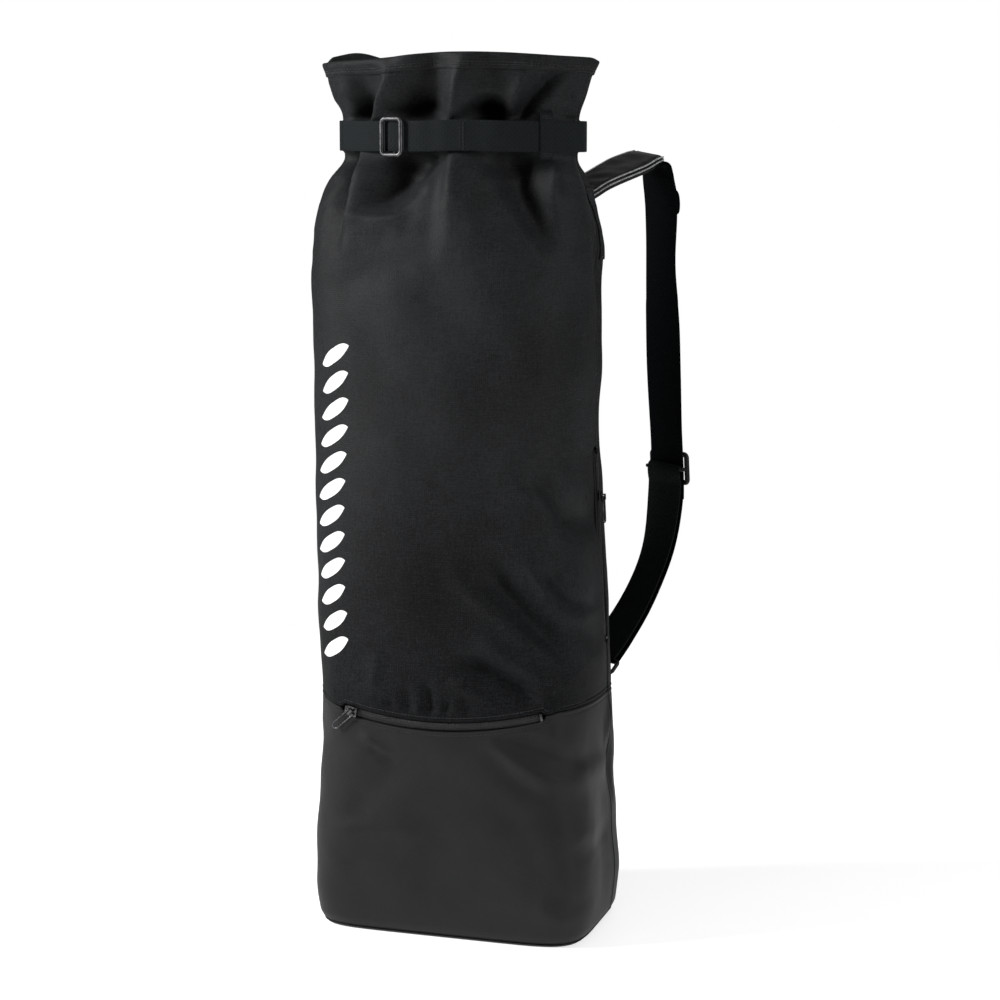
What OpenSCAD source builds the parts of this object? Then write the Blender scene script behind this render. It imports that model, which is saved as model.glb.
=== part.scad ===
// Tall soft bag with a cinched neck, one shoulder strap, a front zip and a side zip.
// Frame: origin at the centre of the flat base, +Z up, front towards -Y, strap on the +X side.

/* [Bag] */
// Height of the mouth rim above the ground
bag_h = 729; // [700:1:760]
// Width of the body at its widest
bag_w = 242; // [232:1:252]
// Depth of the body, front to back
bag_d = 143; // [137:1:150]
// Thickness of the woven upper fabric
cloth_t = 1.2; // [1:0.1:1.4]
// Thickness of the coated base fabric
base_t = 1.6; // [1.3:0.1:1.8]
// Height of the folded hem at the mouth
hem_h = 11; // [8:1:16]
// Thickness of the bottom panel
bottom_t = 2.4; // [2:0.2:2.6]
// Thickness of the board over the bottom panel
board_t = 3; // [2:0.5:4]

/* [Front zip] */
// Height of the lowest point of the front zip
zip_z = 184; // [180:1:190]
// Radius of the arc that the front zip follows
zip_r = 280; // [260:5:320]
// Lean of the plane of that arc
zip_tilt = 46.6; // [42:0.2:50]
// Sideways place of the lowest point of the front zip
zip_x = -9; // [-14:1:-4]
// Half width of the slot that shows the coil
slot = 4.2; // [4:0.1:4.5]

/* [Side zip] */
// Height of the lower end of the side zip
side_z0 = 245; // [240:1:260]
// Height of the upper end of the side zip
side_z1 = 408; // [395:1:415]
// Height of the side slider at rest
side_rest_z = 368; // [340:1:380]

/* [Neck belt] */
// Width of the belt webbing
belt_w = 25; // [24:0.5:26]
// Thickness of the belt webbing
belt_t = 1.4; // [1.2:0.1:1.6]
// Height of the middle of the belt
belt_z = 669; // [665:1:673]
// Radius of the front arc of the belt
belt_r = 150; // [148:1:152]
// Half width of the belt's oval
belt_half = 107; // [106:0.5:109]
// Place of the buckle along the front arc, in degrees from the middle
buckle_angle = -16.5; // [-20:0.5:-12]

/* [Shoulder strap] */
// Width of the shoulder webbing
strap_w = 38; // [36:1:40]
// Thickness of the shoulder webbing
strap_t = 1.6; // [1.4:0.1:1.8]
// Width of the padded top piece
pad_w = 44; // [42:1:46]
// Thickness of the padded top piece
pad_t = 6; // [5:0.5:7]
// Direction in which the strap stands off the bag, from +X towards +Y
strap_turn = 58; // [50:1:64]
// Distance of the strap's swing axis from the middle of the bag, sideways
axis_x = 84; // [82:1:86]
// Distance of the strap's swing axis from the middle of the bag, to the back
axis_y = 90; // [88:1:92]

/* [Hidden] */
$fn = 48;
gap = 0.3;

// One row per height: height, half width, sideways lean, seam, front, back, front and back squareness.
ROWS = [
  [0, 116, 0, 36, -64, 67, 7.0, 5.0],
  [12, 121, 0, 36, -68, 70, 7.0, 5.0],
  [55, 124, 0, 36, -70, 72, 6.0, 4.5],
  [125, 122, -2, 36, -70, 73, 4.6, 4.2],
  [200, 121, -5, 37, -70, 73, 3.6, 4.0],
  [300, 122, -9, 35, -70, 71, 3.0, 3.8],
  [400, 121, -13, 30, -69, 69, 2.7, 3.6],
  [480, 124, -13, 24, -69, 65, 2.6, 3.4],
  [545, 124, -13, 17, -67, 58, 2.5, 3.2],
  [595, 120.5, -11, 13, -60, 50, 2.3, 2.8],
  [635, 110, -8, 9, -50, 41, 2.1, 2.2],
  [652, 101.5, -5, 8, -40.8, 37, 2.0, 2.0],
  [686, 103, -6, 8, -40.8, 37, 2.0, 2.0],
  [705, 112, -7, 8, -48, 40, 1.9, 1.9],
  [729, 119, -7.5, 8, -50, 46, 1.8, 1.8]
];
sx = bag_w / 242;
sy = bag_d / 143;
sz = bag_h / 729;
scale_of = [sz, sx, sx, sy, sy, sy, 1, 1];
ST = [for (r = ROWS) [for (c = [0:7]) r[c] * scale_of[c]]];
last = len(ST) - 1;

// Smooth curve through one column of the table.
function row_at(z, i = 0) = (i >= last - 1 || z < ST[i + 1][0]) ? i : row_at(z, i + 1);
function slope(i, c) =
  let (a = max(i - 1, 0), b = min(i + 1, last))
  (ST[b][c] - ST[a][c]) / (ST[b][0] - ST[a][0]);
function col(z, c) =
  let (i = row_at(z), h = ST[i + 1][0] - ST[i][0], t = (z - ST[i][0]) / h)
  (2 * t * t * t - 3 * t * t + 1) * ST[i][c]
  + (t * t * t - 2 * t * t + t) * h * slope(i, c)
  + (3 * t * t - 2 * t * t * t) * ST[i + 1][c]
  + (t * t * t - t * t) * h * slope(i + 1, c);

// The front zip's arc lies in a leaning plane, so it sags both forwards and down.
function zip_turn(x) = asin(max(-0.9, min(0.9, (x - zip_x) / zip_r)));
function zip_sag(x) = zip_r * (1 - cos(zip_turn(x)));
zip_y = col(zip_z, 4);
zip_left = -86;
zip_right = 86;
side_seam_z = 200;
function seam_z(x) = min(side_seam_z, zip_z + zip_sag(x) * sin(zip_tilt));
function zip_line_y(x) = zip_y + zip_sag(x) * cos(zip_tilt);
function smooth(a, b, v) = let (t = max(0, min(1, (v - a) / (b - a)))) t * t * (3 - 2 * t);

// A point on the bag's skin, off below the outer surface; turn 0 is the right seam, -90 the front.
function skin(z, turn, off = 0) =
  let (
    front = turn < 0,
    n = col(z, front ? 6 : 7),
    half = col(z, 1) - off,
    deep = (front ? col(z, 3) - col(z, 4) : col(z, 5) - col(z, 3)) - off,
    r = pow(pow(abs(cos(turn)), n) + pow(abs(sin(turn)), n), -1 / n),
    x = col(z, 2) + half * cos(turn) * r,
    y = col(z, 3) + deep * sin(turn) * r,
    near = exp(-pow((z - seam_z(x)) / 35, 2)) * (1 - smooth(88, 112, abs(x))),
    pull = front ? near : 0
  )
  [x, y * (1 - pull) + (zip_line_y(x) + off) * pull, z];

// Slots in the panels' edges for the two zips.
slot_fade = 5;
slot_past = 4;
function front_slot(x) = gap + (slot - gap)
  * smooth(zip_left - slot_past - slot_fade, zip_left - slot_past, x)
  * (1 - smooth(zip_right + slot_past, zip_right + slot_past + slot_fade, x));
function side_slot(z) = gap + (slot - gap)
  * smooth(side_z0 - slot_fade, side_z0, z) * (1 - smooth(side_z1, side_z1 + slot_fade, z));
function edge_turn(z, front) =
  atan(side_slot(z) / (front ? col(z, 3) - col(z, 4) : col(z, 5) - col(z, 3)));
function front_turn(z, u) =
  let (a = edge_turn(z, true), b = atan(gap / (col(z, 3) - col(z, 4)))) -180 + b + u * (180 - a - b);
function back_turn(z, u) =
  let (a = edge_turn(z, false), b = atan(gap / (col(z, 5) - col(z, 3)))) a + u * (180 - a - b);

// Closed sheet between an outer and an inner grid of points.
module sheet(outer, inner) {
  rows = len(outer);
  cols = len(outer[0]);
  n = rows * cols;
  pts = concat([for (r = outer) for (p = r) p], [for (r = inner) for (p = r) p]);
  at = function(i, j, s) s * n + i * cols + j;
  faces = concat(
    [for (i = [0:rows - 2], j = [0:cols - 2]) [at(i, j, 0), at(i + 1, j, 0), at(i + 1, j + 1, 0), at(i, j + 1, 0)]],
    [for (i = [0:rows - 2], j = [0:cols - 2]) [at(i, j, 1), at(i, j + 1, 1), at(i + 1, j + 1, 1), at(i + 1, j, 1)]],
    [for (j = [0:cols - 2]) [at(0, j, 0), at(0, j + 1, 0), at(0, j + 1, 1), at(0, j, 1)]],
    [for (j = [0:cols - 2]) [at(rows - 1, j + 1, 0), at(rows - 1, j, 0), at(rows - 1, j, 1), at(rows - 1, j + 1, 1)]],
    [for (i = [0:rows - 2]) [at(i + 1, 0, 0), at(i, 0, 0), at(i, 0, 1), at(i + 1, 0, 1)]],
    [for (i = [0:rows - 2]) [at(i, cols - 1, 0), at(i + 1, cols - 1, 0), at(i + 1, cols - 1, 1), at(i, cols - 1, 1)]]
  );
  polyhedron(pts, faces, convexity = 10);
}

// Panel of the skin: heights run from z0(turn) to z1, cols points across.
panel_cols = 40;
function upper_z(turn, s) =
  let (x = skin(zip_z, turn)[0], lo = (turn < 0 ? seam_z(x) : side_seam_z) + (turn < 0 ? front_slot(x) : gap))
  lo + s * (bag_h - lo);
function lower_z(turn, s) =
  let (
    x = skin(zip_z, turn)[0],
    lo = bottom_t + gap,
    hi = (turn < 0 ? seam_z(x) : side_seam_z) - (turn < 0 ? front_slot(x) : gap)
  )
  lo + s * (hi - lo);
// Shares of the way up the upper panels; four rows follow the ends of the side zip's slot.
function side_step(z) = (z - side_seam_z) / (bag_h - side_seam_z);
upper_steps = [0, 0.02, 0.05, side_step(side_z0 - slot_fade), side_step(side_z0), 0.13, 0.18, 0.24, 0.32,
  side_step(side_z1), side_step(side_z1 + slot_fade), 0.44, 0.5, 0.56, 0.62, 0.68, 0.73, 0.77, 0.81, 0.84,
  0.87, 0.91, 0.95, 1];
lower_steps = [0, 0.05, 0.15, 0.35, 0.6, 0.8, 0.92, 1];

function upper_grid(front, off) = [for (s = upper_steps) [for (k = [0:panel_cols])
  let (t0 = front ? -180 + 180 * k / panel_cols : 180 * k / panel_cols, z = upper_z(front ? min(t0, -0.01) : t0, s))
  skin(z, front ? front_turn(z, k / panel_cols) : back_turn(z, k / panel_cols), off)]];
function lower_grid(front, off) = [for (s = lower_steps) [for (k = [0:panel_cols])
  let (t0 = front ? -180 + 180 * k / panel_cols : 180 * k / panel_cols, z = lower_z(front ? min(t0, -0.01) : t0, s))
  skin(z, front ? front_turn(z, k / panel_cols) : back_turn(z, k / panel_cols), off)]];

cloth_col = [0.16, 0.165, 0.17];
base_col = [0.21, 0.21, 0.215];
web_col = [0.1, 0.105, 0.11];
metal_col = [0.45, 0.45, 0.46];
coil_col = [0.12, 0.12, 0.13];
lining_col = [0.13, 0.13, 0.14];

module front_panel() { color(cloth_col) sheet(upper_grid(true, 0), upper_grid(true, cloth_t)); }
module back_panel() { color(cloth_col) sheet(upper_grid(false, 0), upper_grid(false, cloth_t)); }
module base_front() { color(base_col) sheet(lower_grid(true, 0), lower_grid(true, base_t)); }
module base_back() { color(base_col) sheet(lower_grid(false, 0), lower_grid(false, base_t)); }

// Flat outline of the skin at one height, shrunk by off.
outline_n = 72;
function outline(z, off) = [for (k = [0:outline_n - 1])
  let (p = skin(z, -180 + 360 * k / outline_n, off)) [p[0], p[1]]];

module bottom_panel() {
  color(base_col) linear_extrude(bottom_t) polygon(outline(0, 0));
}

module bottom_board() {
  color([0.3, 0.3, 0.3]) translate([0, 0, bottom_t + gap])
    linear_extrude(board_t) polygon(outline(0, base_t + 5));
}

// Folded hem: a band of double cloth around the outside of the rim.
module mouth_hem() {
  per_side = 60;
  turns = [for (k = [0:2 * per_side]) -180 + 180 * k / per_side];
  hem_t = 0.9;
  hem_rows = [bag_h - hem_h, bag_h - hem_h / 2, bag_h];
  ring = function(off) [for (z = hem_rows) [for (a = turns) skin(z, a == 180 ? 179.99 : a, off)]];
  // The band is cut into a front and a back half at the side seams.
  half = function(g, front) [for (r = g) [for (k = front ? [0:per_side] : [per_side:2 * per_side]) r[k]]];
  color(cloth_col) for (front = [true, false])
    sheet(half(ring(-gap - hem_t), front), half(ring(-gap), front));
}

// Front zip: everything is a body of revolution about the arc's axis.
// n is the way out of the cloth, w runs up along it.
module zip_frame() {
  translate([zip_x, zip_y, zip_z]) rotate([zip_tilt, 0, 0]) translate([0, zip_r, 0]) children();
}
module zip_bar(from_x, to_x, n0, n1, w0, w1) {
  a0 = zip_turn(from_x);
  a1 = zip_turn(to_x);
  zip_frame() rotate([0, 0, -90 + a0]) rotate_extrude(angle = a1 - a0)
    translate([zip_r, 0]) rotate(zip_tilt) translate([n0, w0]) square([n1 - n0, w1 - w0]);
}
tape_w = 11.5;
tape_n = [-2.4, -1.9];
coil_n = [-1.8, 0.2];
coil_w = [0.6, 2.7];
tape_in = 1.0;
side_tape_w = 8;
stop_len = 2;

module front_tape_upper() { color(coil_col) zip_bar(zip_left, zip_right, tape_n[0], tape_n[1], tape_in, tape_w); }
module front_tape_lower() { color(coil_col) zip_bar(zip_left, zip_right, tape_n[0], tape_n[1], -tape_w, -tape_in); }
module front_coil_upper() {
  color(coil_col) zip_bar(zip_left + stop_len, zip_right - stop_len, coil_n[0], coil_n[1], coil_w[0], coil_w[1]);
}
module front_coil_lower() {
  color(coil_col) zip_bar(zip_left + stop_len, zip_right - stop_len, coil_n[0], coil_n[1], -coil_w[1], -coil_w[0]);
}
module front_stop_left() {
  color(metal_col) zip_bar(zip_left, zip_left + stop_len - 0.2, coil_n[0], coil_n[1] + 0.6, -3, 3);
}
module front_stop_right() {
  color(metal_col) zip_bar(zip_right - stop_len + 0.2, zip_right, coil_n[0], coil_n[1] + 0.6, -3, 3);
}

// Zip slider and pull. Local frame: x along the zip, y up the cloth, z out of it.
slider_len = 9;
slider_half = 4;
plate_n = [0.6, 1.7];
under_n = [-3.6, -2.7];
web_half = 0.35;
crown_h = 3.6;
crown_len = 5;
crown_t = 1;
pin_n = plate_n[1] + 1.5;
pin_r = 0.6;
pull_r = 0.8;
pull_len = 22;
pull_half = 2.8;
slider_x = -79;
slider_turn = zip_turn(slider_x);
// The front pull hangs down and to the left.
pull_lean = -38;

// Bridge that the pull's pin passes under; turned so that the pin runs straight through it.
module crown(turn) {
  translate([0, 0, plate_n[1] - 0.2]) rotate([0, 0, turn]) difference() {
    translate([-crown_len / 2, -1, 0]) cube([crown_len, 2, crown_h]);
    translate([-crown_len / 2 + crown_t, -1.5, 0.8]) cube([crown_len - 2 * crown_t, 3, crown_h - 0.8 - crown_t]);
  }
}

module front_slider() {
  half_deg = slider_len / 2 / zip_r * 180 / PI;
  x0 = zip_x + zip_r * sin(slider_turn - half_deg);
  x1 = zip_x + zip_r * sin(slider_turn + half_deg);
  xm = zip_x + zip_r * sin(slider_turn - half_deg / 3);
  color(metal_col) {
    zip_bar(x0, x1, plate_n[0], plate_n[1], -slider_half, slider_half);
    zip_bar(x0, x1, under_n[0], under_n[1], -slider_half, slider_half);
    zip_bar(x0, xm, under_n[1] - 0.1, plate_n[0] + 0.1, -web_half, web_half);
    slider_place() crown(90 + pull_lean);
  }
}

// Places a local slider frame on the front zip's arc at its rest place.
module slider_place() {
  zip_frame() rotate([0, 0, slider_turn]) translate([0, -zip_r, 0]) rotate([90 - zip_tilt, 0, 0]) children();
}

// Pull: an open loop of wire with its eye round the crown. Local frame: hangs along -y.
module pull_loop() {
  bend = pull_half;
  end_y = -pull_len + bend;
  for (s = [-1, 1]) translate([s * pull_half, 0, 0]) rotate([90, 0, 0]) cylinder(r = pull_r, h = -end_y);
  translate([0, end_y, 0]) rotate([0, 0, 180]) rotate_extrude(angle = 180) translate([pull_half, 0]) circle(pull_r);
  translate([-pull_half, 0, 0]) rotate([0, 90, 0]) cylinder(r = pin_r, h = 2 * pull_half);
  for (s = [-1, 1]) translate([s * pull_half, 0, 0]) sphere(pull_r);
}

module front_pull() {
  color(metal_col) slider_place() translate([0, 0, pin_n]) rotate([0, 0, pull_lean]) pull_loop();
}

// Side zip: a straight stretch of the right seam.
side_lo = skin(side_z0, -0.01);
side_hi = skin(side_z1, -0.01);
side_len = norm(side_hi - side_lo);
side_lean_x = asin((side_hi[0] - side_lo[0]) / side_len);
side_lean_y = asin((side_hi[1] - side_lo[1]) / side_len);
side_rest = (side_rest_z - side_z0) / (side_z1 - side_z0) * side_len;
// Local frame: x along the zip upwards, y towards the front, z out of the cloth.
module side_frame() {
  translate(side_lo) rotate([-side_lean_y, side_lean_x, 0]) rotate([0, -90, 180]) children();
}
module side_bar(x0, x1, n0, n1, w0, w1) {
  side_frame() translate([x0, w0, n0]) cube([x1 - x0, w1 - w0, n1 - n0]);
}
module side_tape_front() { color(coil_col) side_bar(0, side_len, tape_n[0], tape_n[1], tape_in, side_tape_w); }
module side_tape_back() { color(coil_col) side_bar(0, side_len, tape_n[0], tape_n[1], -side_tape_w, -tape_in); }
module side_coil_front() {
  color(coil_col) side_bar(stop_len, side_len - stop_len, coil_n[0], coil_n[1], coil_w[0], coil_w[1]);
}
module side_coil_back() {
  color(coil_col) side_bar(stop_len, side_len - stop_len, coil_n[0], coil_n[1], -coil_w[1], -coil_w[0]);
}
module side_stop_bottom() { color(metal_col) side_bar(0, stop_len - 0.2, coil_n[0], coil_n[1] + 0.6, -3, 3); }
module side_stop_top() {
  color(metal_col) side_bar(side_len - stop_len + 0.2, side_len, coil_n[0], coil_n[1] + 0.6, -3, 3);
}
module side_slider() {
  a = side_rest - slider_len / 2;
  b = side_rest + slider_len / 2;
  color(metal_col) {
    side_bar(a, b, plate_n[0], plate_n[1], -slider_half, slider_half);
    side_bar(a, b, under_n[0], under_n[1], -slider_half, slider_half);
    side_bar(side_rest, b, under_n[1] - 0.1, plate_n[0] + 0.1, -web_half, web_half);
    side_frame() translate([side_rest, 0, 0]) crown(0);
  }
}
module side_pull() {
  color(metal_col) side_frame() translate([side_rest, 0, pin_n]) rotate([0, 0, -90]) pull_loop();
}

// Pocket linings: a sheet of thin cloth behind each zip.
lining_off = 4.2;
lining_t = 0.6;
function lining_grid(turns, heights, off) = [for (z = heights) [for (a = turns) skin(z, a, off)]];
module front_pocket_lining() {
  turns = [for (k = [0:16]) -138 + 96 * k / 16];
  heights = [60, 90, 120, 150, 170, 184, 198, 212];
  color(lining_col) sheet(lining_grid(turns, heights, lining_off), lining_grid(turns, heights, lining_off + lining_t));
}
module side_pocket_lining() {
  turns = [for (k = [0:12]) -36 + 60 * k / 12];
  heights = [232, 262, 292, 322, 352, 382, 402, 420];
  color(lining_col) sheet(lining_grid(turns, heights, lining_off), lining_grid(turns, heights, lining_off + lining_t));
}

// Neck belt: an oval of four tangent arcs.
belt_x = -4.5;
belt_front = -49.5;
belt_back = 43;
end_r = 26;
end_x = belt_half - end_r;
front_c = belt_front + belt_r;
end_y = front_c - sqrt(pow(belt_r - end_r, 2) - end_x * end_x);
back_d = end_y - belt_back;
back_r = (end_x * end_x + back_d * back_d - end_r * end_r) / (-2 * (back_d + end_r));
back_c = belt_back - back_r;
front_half = asin(end_x / (belt_r - end_r));
back_half = asin(end_x / (back_r - end_r));
// Angles are measured from straight ahead; each arc leaves its last point to the next one.
function arc_pts(c, r, a0, a1, n) = [for (k = [0:n - 1])
  let (a = a0 + (a1 - a0) * k / n) c + r * [sin(a), -cos(a)]];
function belt_oval(t) = concat(
  arc_pts([0, front_c], belt_r - t, -front_half, front_half, 40),
  arc_pts([end_x, end_y], end_r - t, front_half, 180 - back_half, 16),
  arc_pts([0, back_c], back_r - t, 180 - back_half, 180 + back_half, 24),
  arc_pts([-end_x, end_y], end_r - t, 180 + back_half, 360 - front_half, 16)
);
module neck_belt() {
  color(web_col) translate([belt_x, 0, belt_z - belt_w / 2]) linear_extrude(belt_w)
    difference() {
      polygon(belt_oval(0));
      polygon(belt_oval(belt_t));
    }
}
// Frame on the belt's front arc. Local frame: x along the belt, y up, z out of the cloth.
module belt_place(turn) {
  translate([belt_x, front_c, belt_z]) rotate([0, 0, turn]) translate([0, -belt_r, 0]) rotate([90, 0, 0]) children();
}
// Second layer behind the belt, folded round the buckle and stitched down.
fold_turns = [-7.5, 9];
module belt_fold() {
  t0 = 1.0;
  color(web_col) translate([belt_x, front_c, belt_z - belt_w / 2]) rotate([0, 0, -90 + fold_turns[0]])
    rotate_extrude(angle = fold_turns[1] - fold_turns[0])
      translate([belt_r - belt_t - 0.2 - t0, 0]) square([t0, belt_w]);
}
keeper_w = 11;
keeper_h = 38;
module keeper_strip(leg) {
  t = 0.8;
  translate([-keeper_w / 2, -keeper_h / 2, 0.4]) cube([keeper_w, keeper_h, t]);
  for (s = [-1, 1]) translate([-keeper_w / 2, s * (keeper_h / 2 - t / 2) - t / 2, -leg]) cube([keeper_w, t, leg + 0.5]);
}
keeper_angle = 33.5;
module belt_keeper() { color(web_col) belt_place(keeper_angle) keeper_strip(1.2); }
module back_keeper() {
  color(web_col) translate([belt_x, belt_back, belt_z]) rotate([90, 0, 180]) keeper_strip(3);
}

// Round wire bent into a rectangle. Local frame: in the x-y plane, middle at the origin.
module wire_ring(w, h, r, bend) {
  for (s = [-1, 1]) {
    translate([s * (w / 2 - r), -(h / 2 - r - bend), 0]) rotate([-90, 0, 0]) cylinder(r = r, h = h - 2 * r - 2 * bend);
    translate([-(w / 2 - r - bend), s * (h / 2 - r), 0]) rotate([0, 90, 0]) cylinder(r = r, h = w - 2 * r - 2 * bend);
  }
  for (q = [[1, 1, 0], [-1, 1, 90], [-1, -1, 180], [1, -1, 270]])
    translate([q[0] * (w / 2 - r - bend), q[1] * (h / 2 - r - bend), 0])
      rotate([0, 0, q[2]]) rotate_extrude(angle = 90) translate([bend, 0]) circle(r);
}

// Tri-glide: a wire ring in front of the webbing and a middle bar behind it.
module triglide(long, short, r, bar_r, front_n, bar_n, bend) {
  translate([0, 0, front_n]) wire_ring(short, long, r, bend);
  translate([0, -(long / 2 - r), bar_n]) rotate([-90, 0, 0]) cylinder(r = bar_r, h = long - 2 * r);
  for (s = [-1, 1]) translate([0, s * (long / 2 - r), bar_n - bar_r - 0.2])
    cylinder(r = bar_r + 0.2, h = front_n - bar_n + bar_r + 0.2);
}
buckle_h = 32.4;
buckle_len = 22.5;
buckle_r = 1.6;
buckle_bar_r = 0.9;
buckle_bend = 3.6;
buckle_drop = 0.6;
module neck_buckle() {
  color(metal_col) belt_place(buckle_angle) translate([0, -buckle_drop, 0])
    triglide(buckle_h, buckle_len, buckle_r, buckle_bar_r, gap + buckle_r + 0.5,
      -belt_t - gap - buckle_bar_r, buckle_bend);
}

// Shoulder strap: a band that runs in the upright plane through the swing axis.
out_dir = [cos(strap_turn), sin(strap_turn), 0];
side_dir = [sin(strap_turn), -cos(strap_turn), 0];
function strap_pt(p) = [axis_x, axis_y, 0] + p[0] * out_dir + [0, 0, p[1]];

// Flat band through points of the strap's plane, between two distances from its middle line.
module band(path, w, n0, n1) {
  k = len(path);
  dirs = [for (i = [0:k - 1]) let (a = path[max(i - 1, 0)], b = path[min(i + 1, k - 1)]) (b - a) / norm(b - a)];
  outer = [for (i = [0:k - 1]) [path[i][0] - dirs[i][1] * n1, path[i][1] + dirs[i][0] * n1]];
  inner = [for (i = [k - 1:-1:0]) [path[i][0] - dirs[i][1] * n0, path[i][1] + dirs[i][0] * n0]];
  translate([axis_x, axis_y, 0]) rotate([90, 0, strap_turn]) translate([0, 0, -w / 2])
    linear_extrude(w) polygon(concat(outer, inner));
}
// Distance out from the swing axis and height, from the bag over the top and down.
pad_path = [[-8, 622], [3, 622.8], [12, 625.5], [23, 632], [34, 638.5], [46, 644.5], [58, 649], [70, 651.5]];
web_path = [[72, 652], [78, 651], [82, 647.5], [83.8, 641], [84.2, 620], [84.5, 590], [85, 560], [85.6, 530],
  [86.5, 500]];
run_top = [86.5, 500];
run_bottom = [96, 362];
low_path = [[96, 362], [95.8, 350], [94.5, 336], [91.5, 320], [86.5, 303], [79.5, 286.5], [70.5, 270.5], [60, 255],
  [49.5, 241.5], [39.5, 230], [31, 221], [24, 214.5], [19, 210]];

module strap_root() {
  // Sewn flat to the patch, then bent out to the padded piece.
  t = 2;
  half = pad_w / 2;
  along = [[-41.2, 576], [-44.6, 589], [-46.6, 600], [-45, 608], [-36, 612.5], [-20, 614.5], [-6, 615.3], [8, 615.5]];
  k = len(along);
  mid = [for (p = along) strap_pt(p)];
  dirs = [for (i = [0:k - 1]) let (a = along[max(i - 1, 0)], b = along[min(i + 1, k - 1)]) (b - a) / norm(b - a)];
  side_of = function(i) let (f = i / (k - 1), a = -9 + (strap_turn - 90 + 9) * f) [cos(a), sin(a), 0];
  n_of = function(i, n) strap_pt([along[i][0] - dirs[i][1] * n, along[i][1] + dirs[i][0] * n]);
  grid = function(n) [for (s = [-1, -0.5, 0, 0.5, 1]) [for (i = [0:k - 1]) n_of(i, n) + side_of(i) * half * s]];
  color(base_col) sheet(grid(t / 2), grid(-t / 2));
}
module strap_pad() { color(base_col) band(pad_path, pad_w, -pad_t / 2, pad_t / 2); }
module strap_webbing() {
  color(web_col) band(concat(web_path, [run_bottom], [for (i = [1:len(low_path) - 1]) low_path[i]]),
    strap_w, -strap_t / 2, strap_t / 2);
}
// Layer that comes back from the ring to the tri-glide, on the bag's side.
ring_r = 1.8;
loop_r = ring_r + gap;
return_top = 3.4;
return_end = 2 * loop_r + strap_t;
module strap_return() {
  k = len(low_path);
  path = [for (i = [0:k - 1]) let (
    d = low_path[min(i + 1, k - 1)] - low_path[max(i - 1, 0)],
    off = return_top + (return_end - return_top) * i / (k - 1)
  ) low_path[i] + off * [d[1], -d[0]] / norm(d)];
  color(web_col) band(path, strap_w, -strap_t / 2, strap_t / 2);
}

// Tri-glide on the straight run of the webbing.
run_len = norm(run_bottom - run_top);
run_lean = atan2(run_bottom[0] - run_top[0], run_top[1] - run_bottom[1]);
glide_z = 376;
glide_at = run_top + (run_bottom - run_top) * (run_top[1] - glide_z) / (run_top[1] - run_bottom[1]);
glide_long = 48;
glide_short = 30;
glide_r = 2.3;
glide_bar_r = 1.4;
glide_bend = 3;
// Local frame: x up along the webbing, y across it, z away from the bag.
module glide_place() {
  translate(strap_pt(glide_at)) rotate([0, 0, strap_turn]) rotate([0, 90 - run_lean, 0]) rotate([0, 0, 180]) children();
}
module strap_triglide() {
  color(web_col) glide_place()
    triglide(glide_long, glide_short, glide_r, glide_bar_r, strap_t / 2 + gap + glide_r,
      -strap_t / 2 - gap - glide_bar_r, glide_bend);
}

// Lower ring and the tab that holds it to the back seam.
ring_long = 46;
ring_short = 16;
ring_lean = 44;
bar_off = ring_short / 2 - ring_r;
web_end = low_path[len(low_path) - 1];
bar_out = web_end + (loop_r + strap_t / 2) * [-sin(ring_lean), cos(ring_lean)];
ring_at = bar_out - bar_off * [cos(ring_lean), sin(ring_lean)];
bar_in = bar_out - 2 * bar_off * [cos(ring_lean), sin(ring_lean)];
module lower_ring() {
  color(metal_col) translate(strap_pt(ring_at)) rotate([0, 0, strap_turn]) rotate([0, -ring_lean, 0])
    wire_ring(ring_short, ring_long, ring_r, 3);
}
// Loop of webbing round a bar, from one angle over a span. Frame of the strap's plane.
module web_loop(at, from, span, w, t) {
  translate([axis_x, axis_y, 0]) rotate([90, 0, strap_turn]) translate([at[0], at[1], -w / 2])
    rotate([0, 0, from]) rotate_extrude(angle = span) translate([loop_r, 0]) square([t, w]);
}
module strap_loop() { color(web_col) web_loop(bar_out, ring_lean + 90 + 4, 172, strap_w, strap_t); }
// The ring's tab: a loop round the inner bar with its tail lying over the stub in the back seam.
tab_w = 34;
tab_t = 1.2;
tab_low = bar_in[1] - loop_r - tab_t;
tab_start = -6;
// Stretch of the back seam that the stub leaves from, in degrees.
stub_turns = [48.3, 64];
tab_turns = 16;
module ring_tab() {
  mid_r = loop_r + tab_t / 2;
  low = bar_in[1] - mid_r;
  around = [for (k = [0:tab_turns]) let (a = 215 * k / tab_turns) bar_in + mid_r * [sin(a), -cos(a)]];
  color(web_col) band(concat([[tab_start, low], [tab_start / 2, low]], around), tab_w, -tab_t / 2, tab_t / 2);
}
module tab_stub() {
  inner = [for (k = [0:8]) let (p = skin(side_seam_z, stub_turns[0] + (stub_turns[1] - stub_turns[0]) * k / 8, -gap))
    [p[0], p[1]]];
  end = [for (s = [-1, 1]) let (p = strap_pt([8, 0]) + s * tab_w / 2 * side_dir) [p[0], p[1]]];
  color(web_col) translate([0, 0, tab_low - 0.6 - tab_t]) linear_extrude(tab_t) polygon(concat(inner, end));
}

// Patch that carries the top of the strap.
module strap_patch() {
  patch_t = 1;
  turns = [for (k = [0:10]) 3 + 62 * k / 10];
  heights = [568, 583, 598, 613, 628];
  color(cloth_col) sheet(lining_grid(turns, heights, -gap - patch_t), lining_grid(turns, heights, -gap));
}

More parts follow.
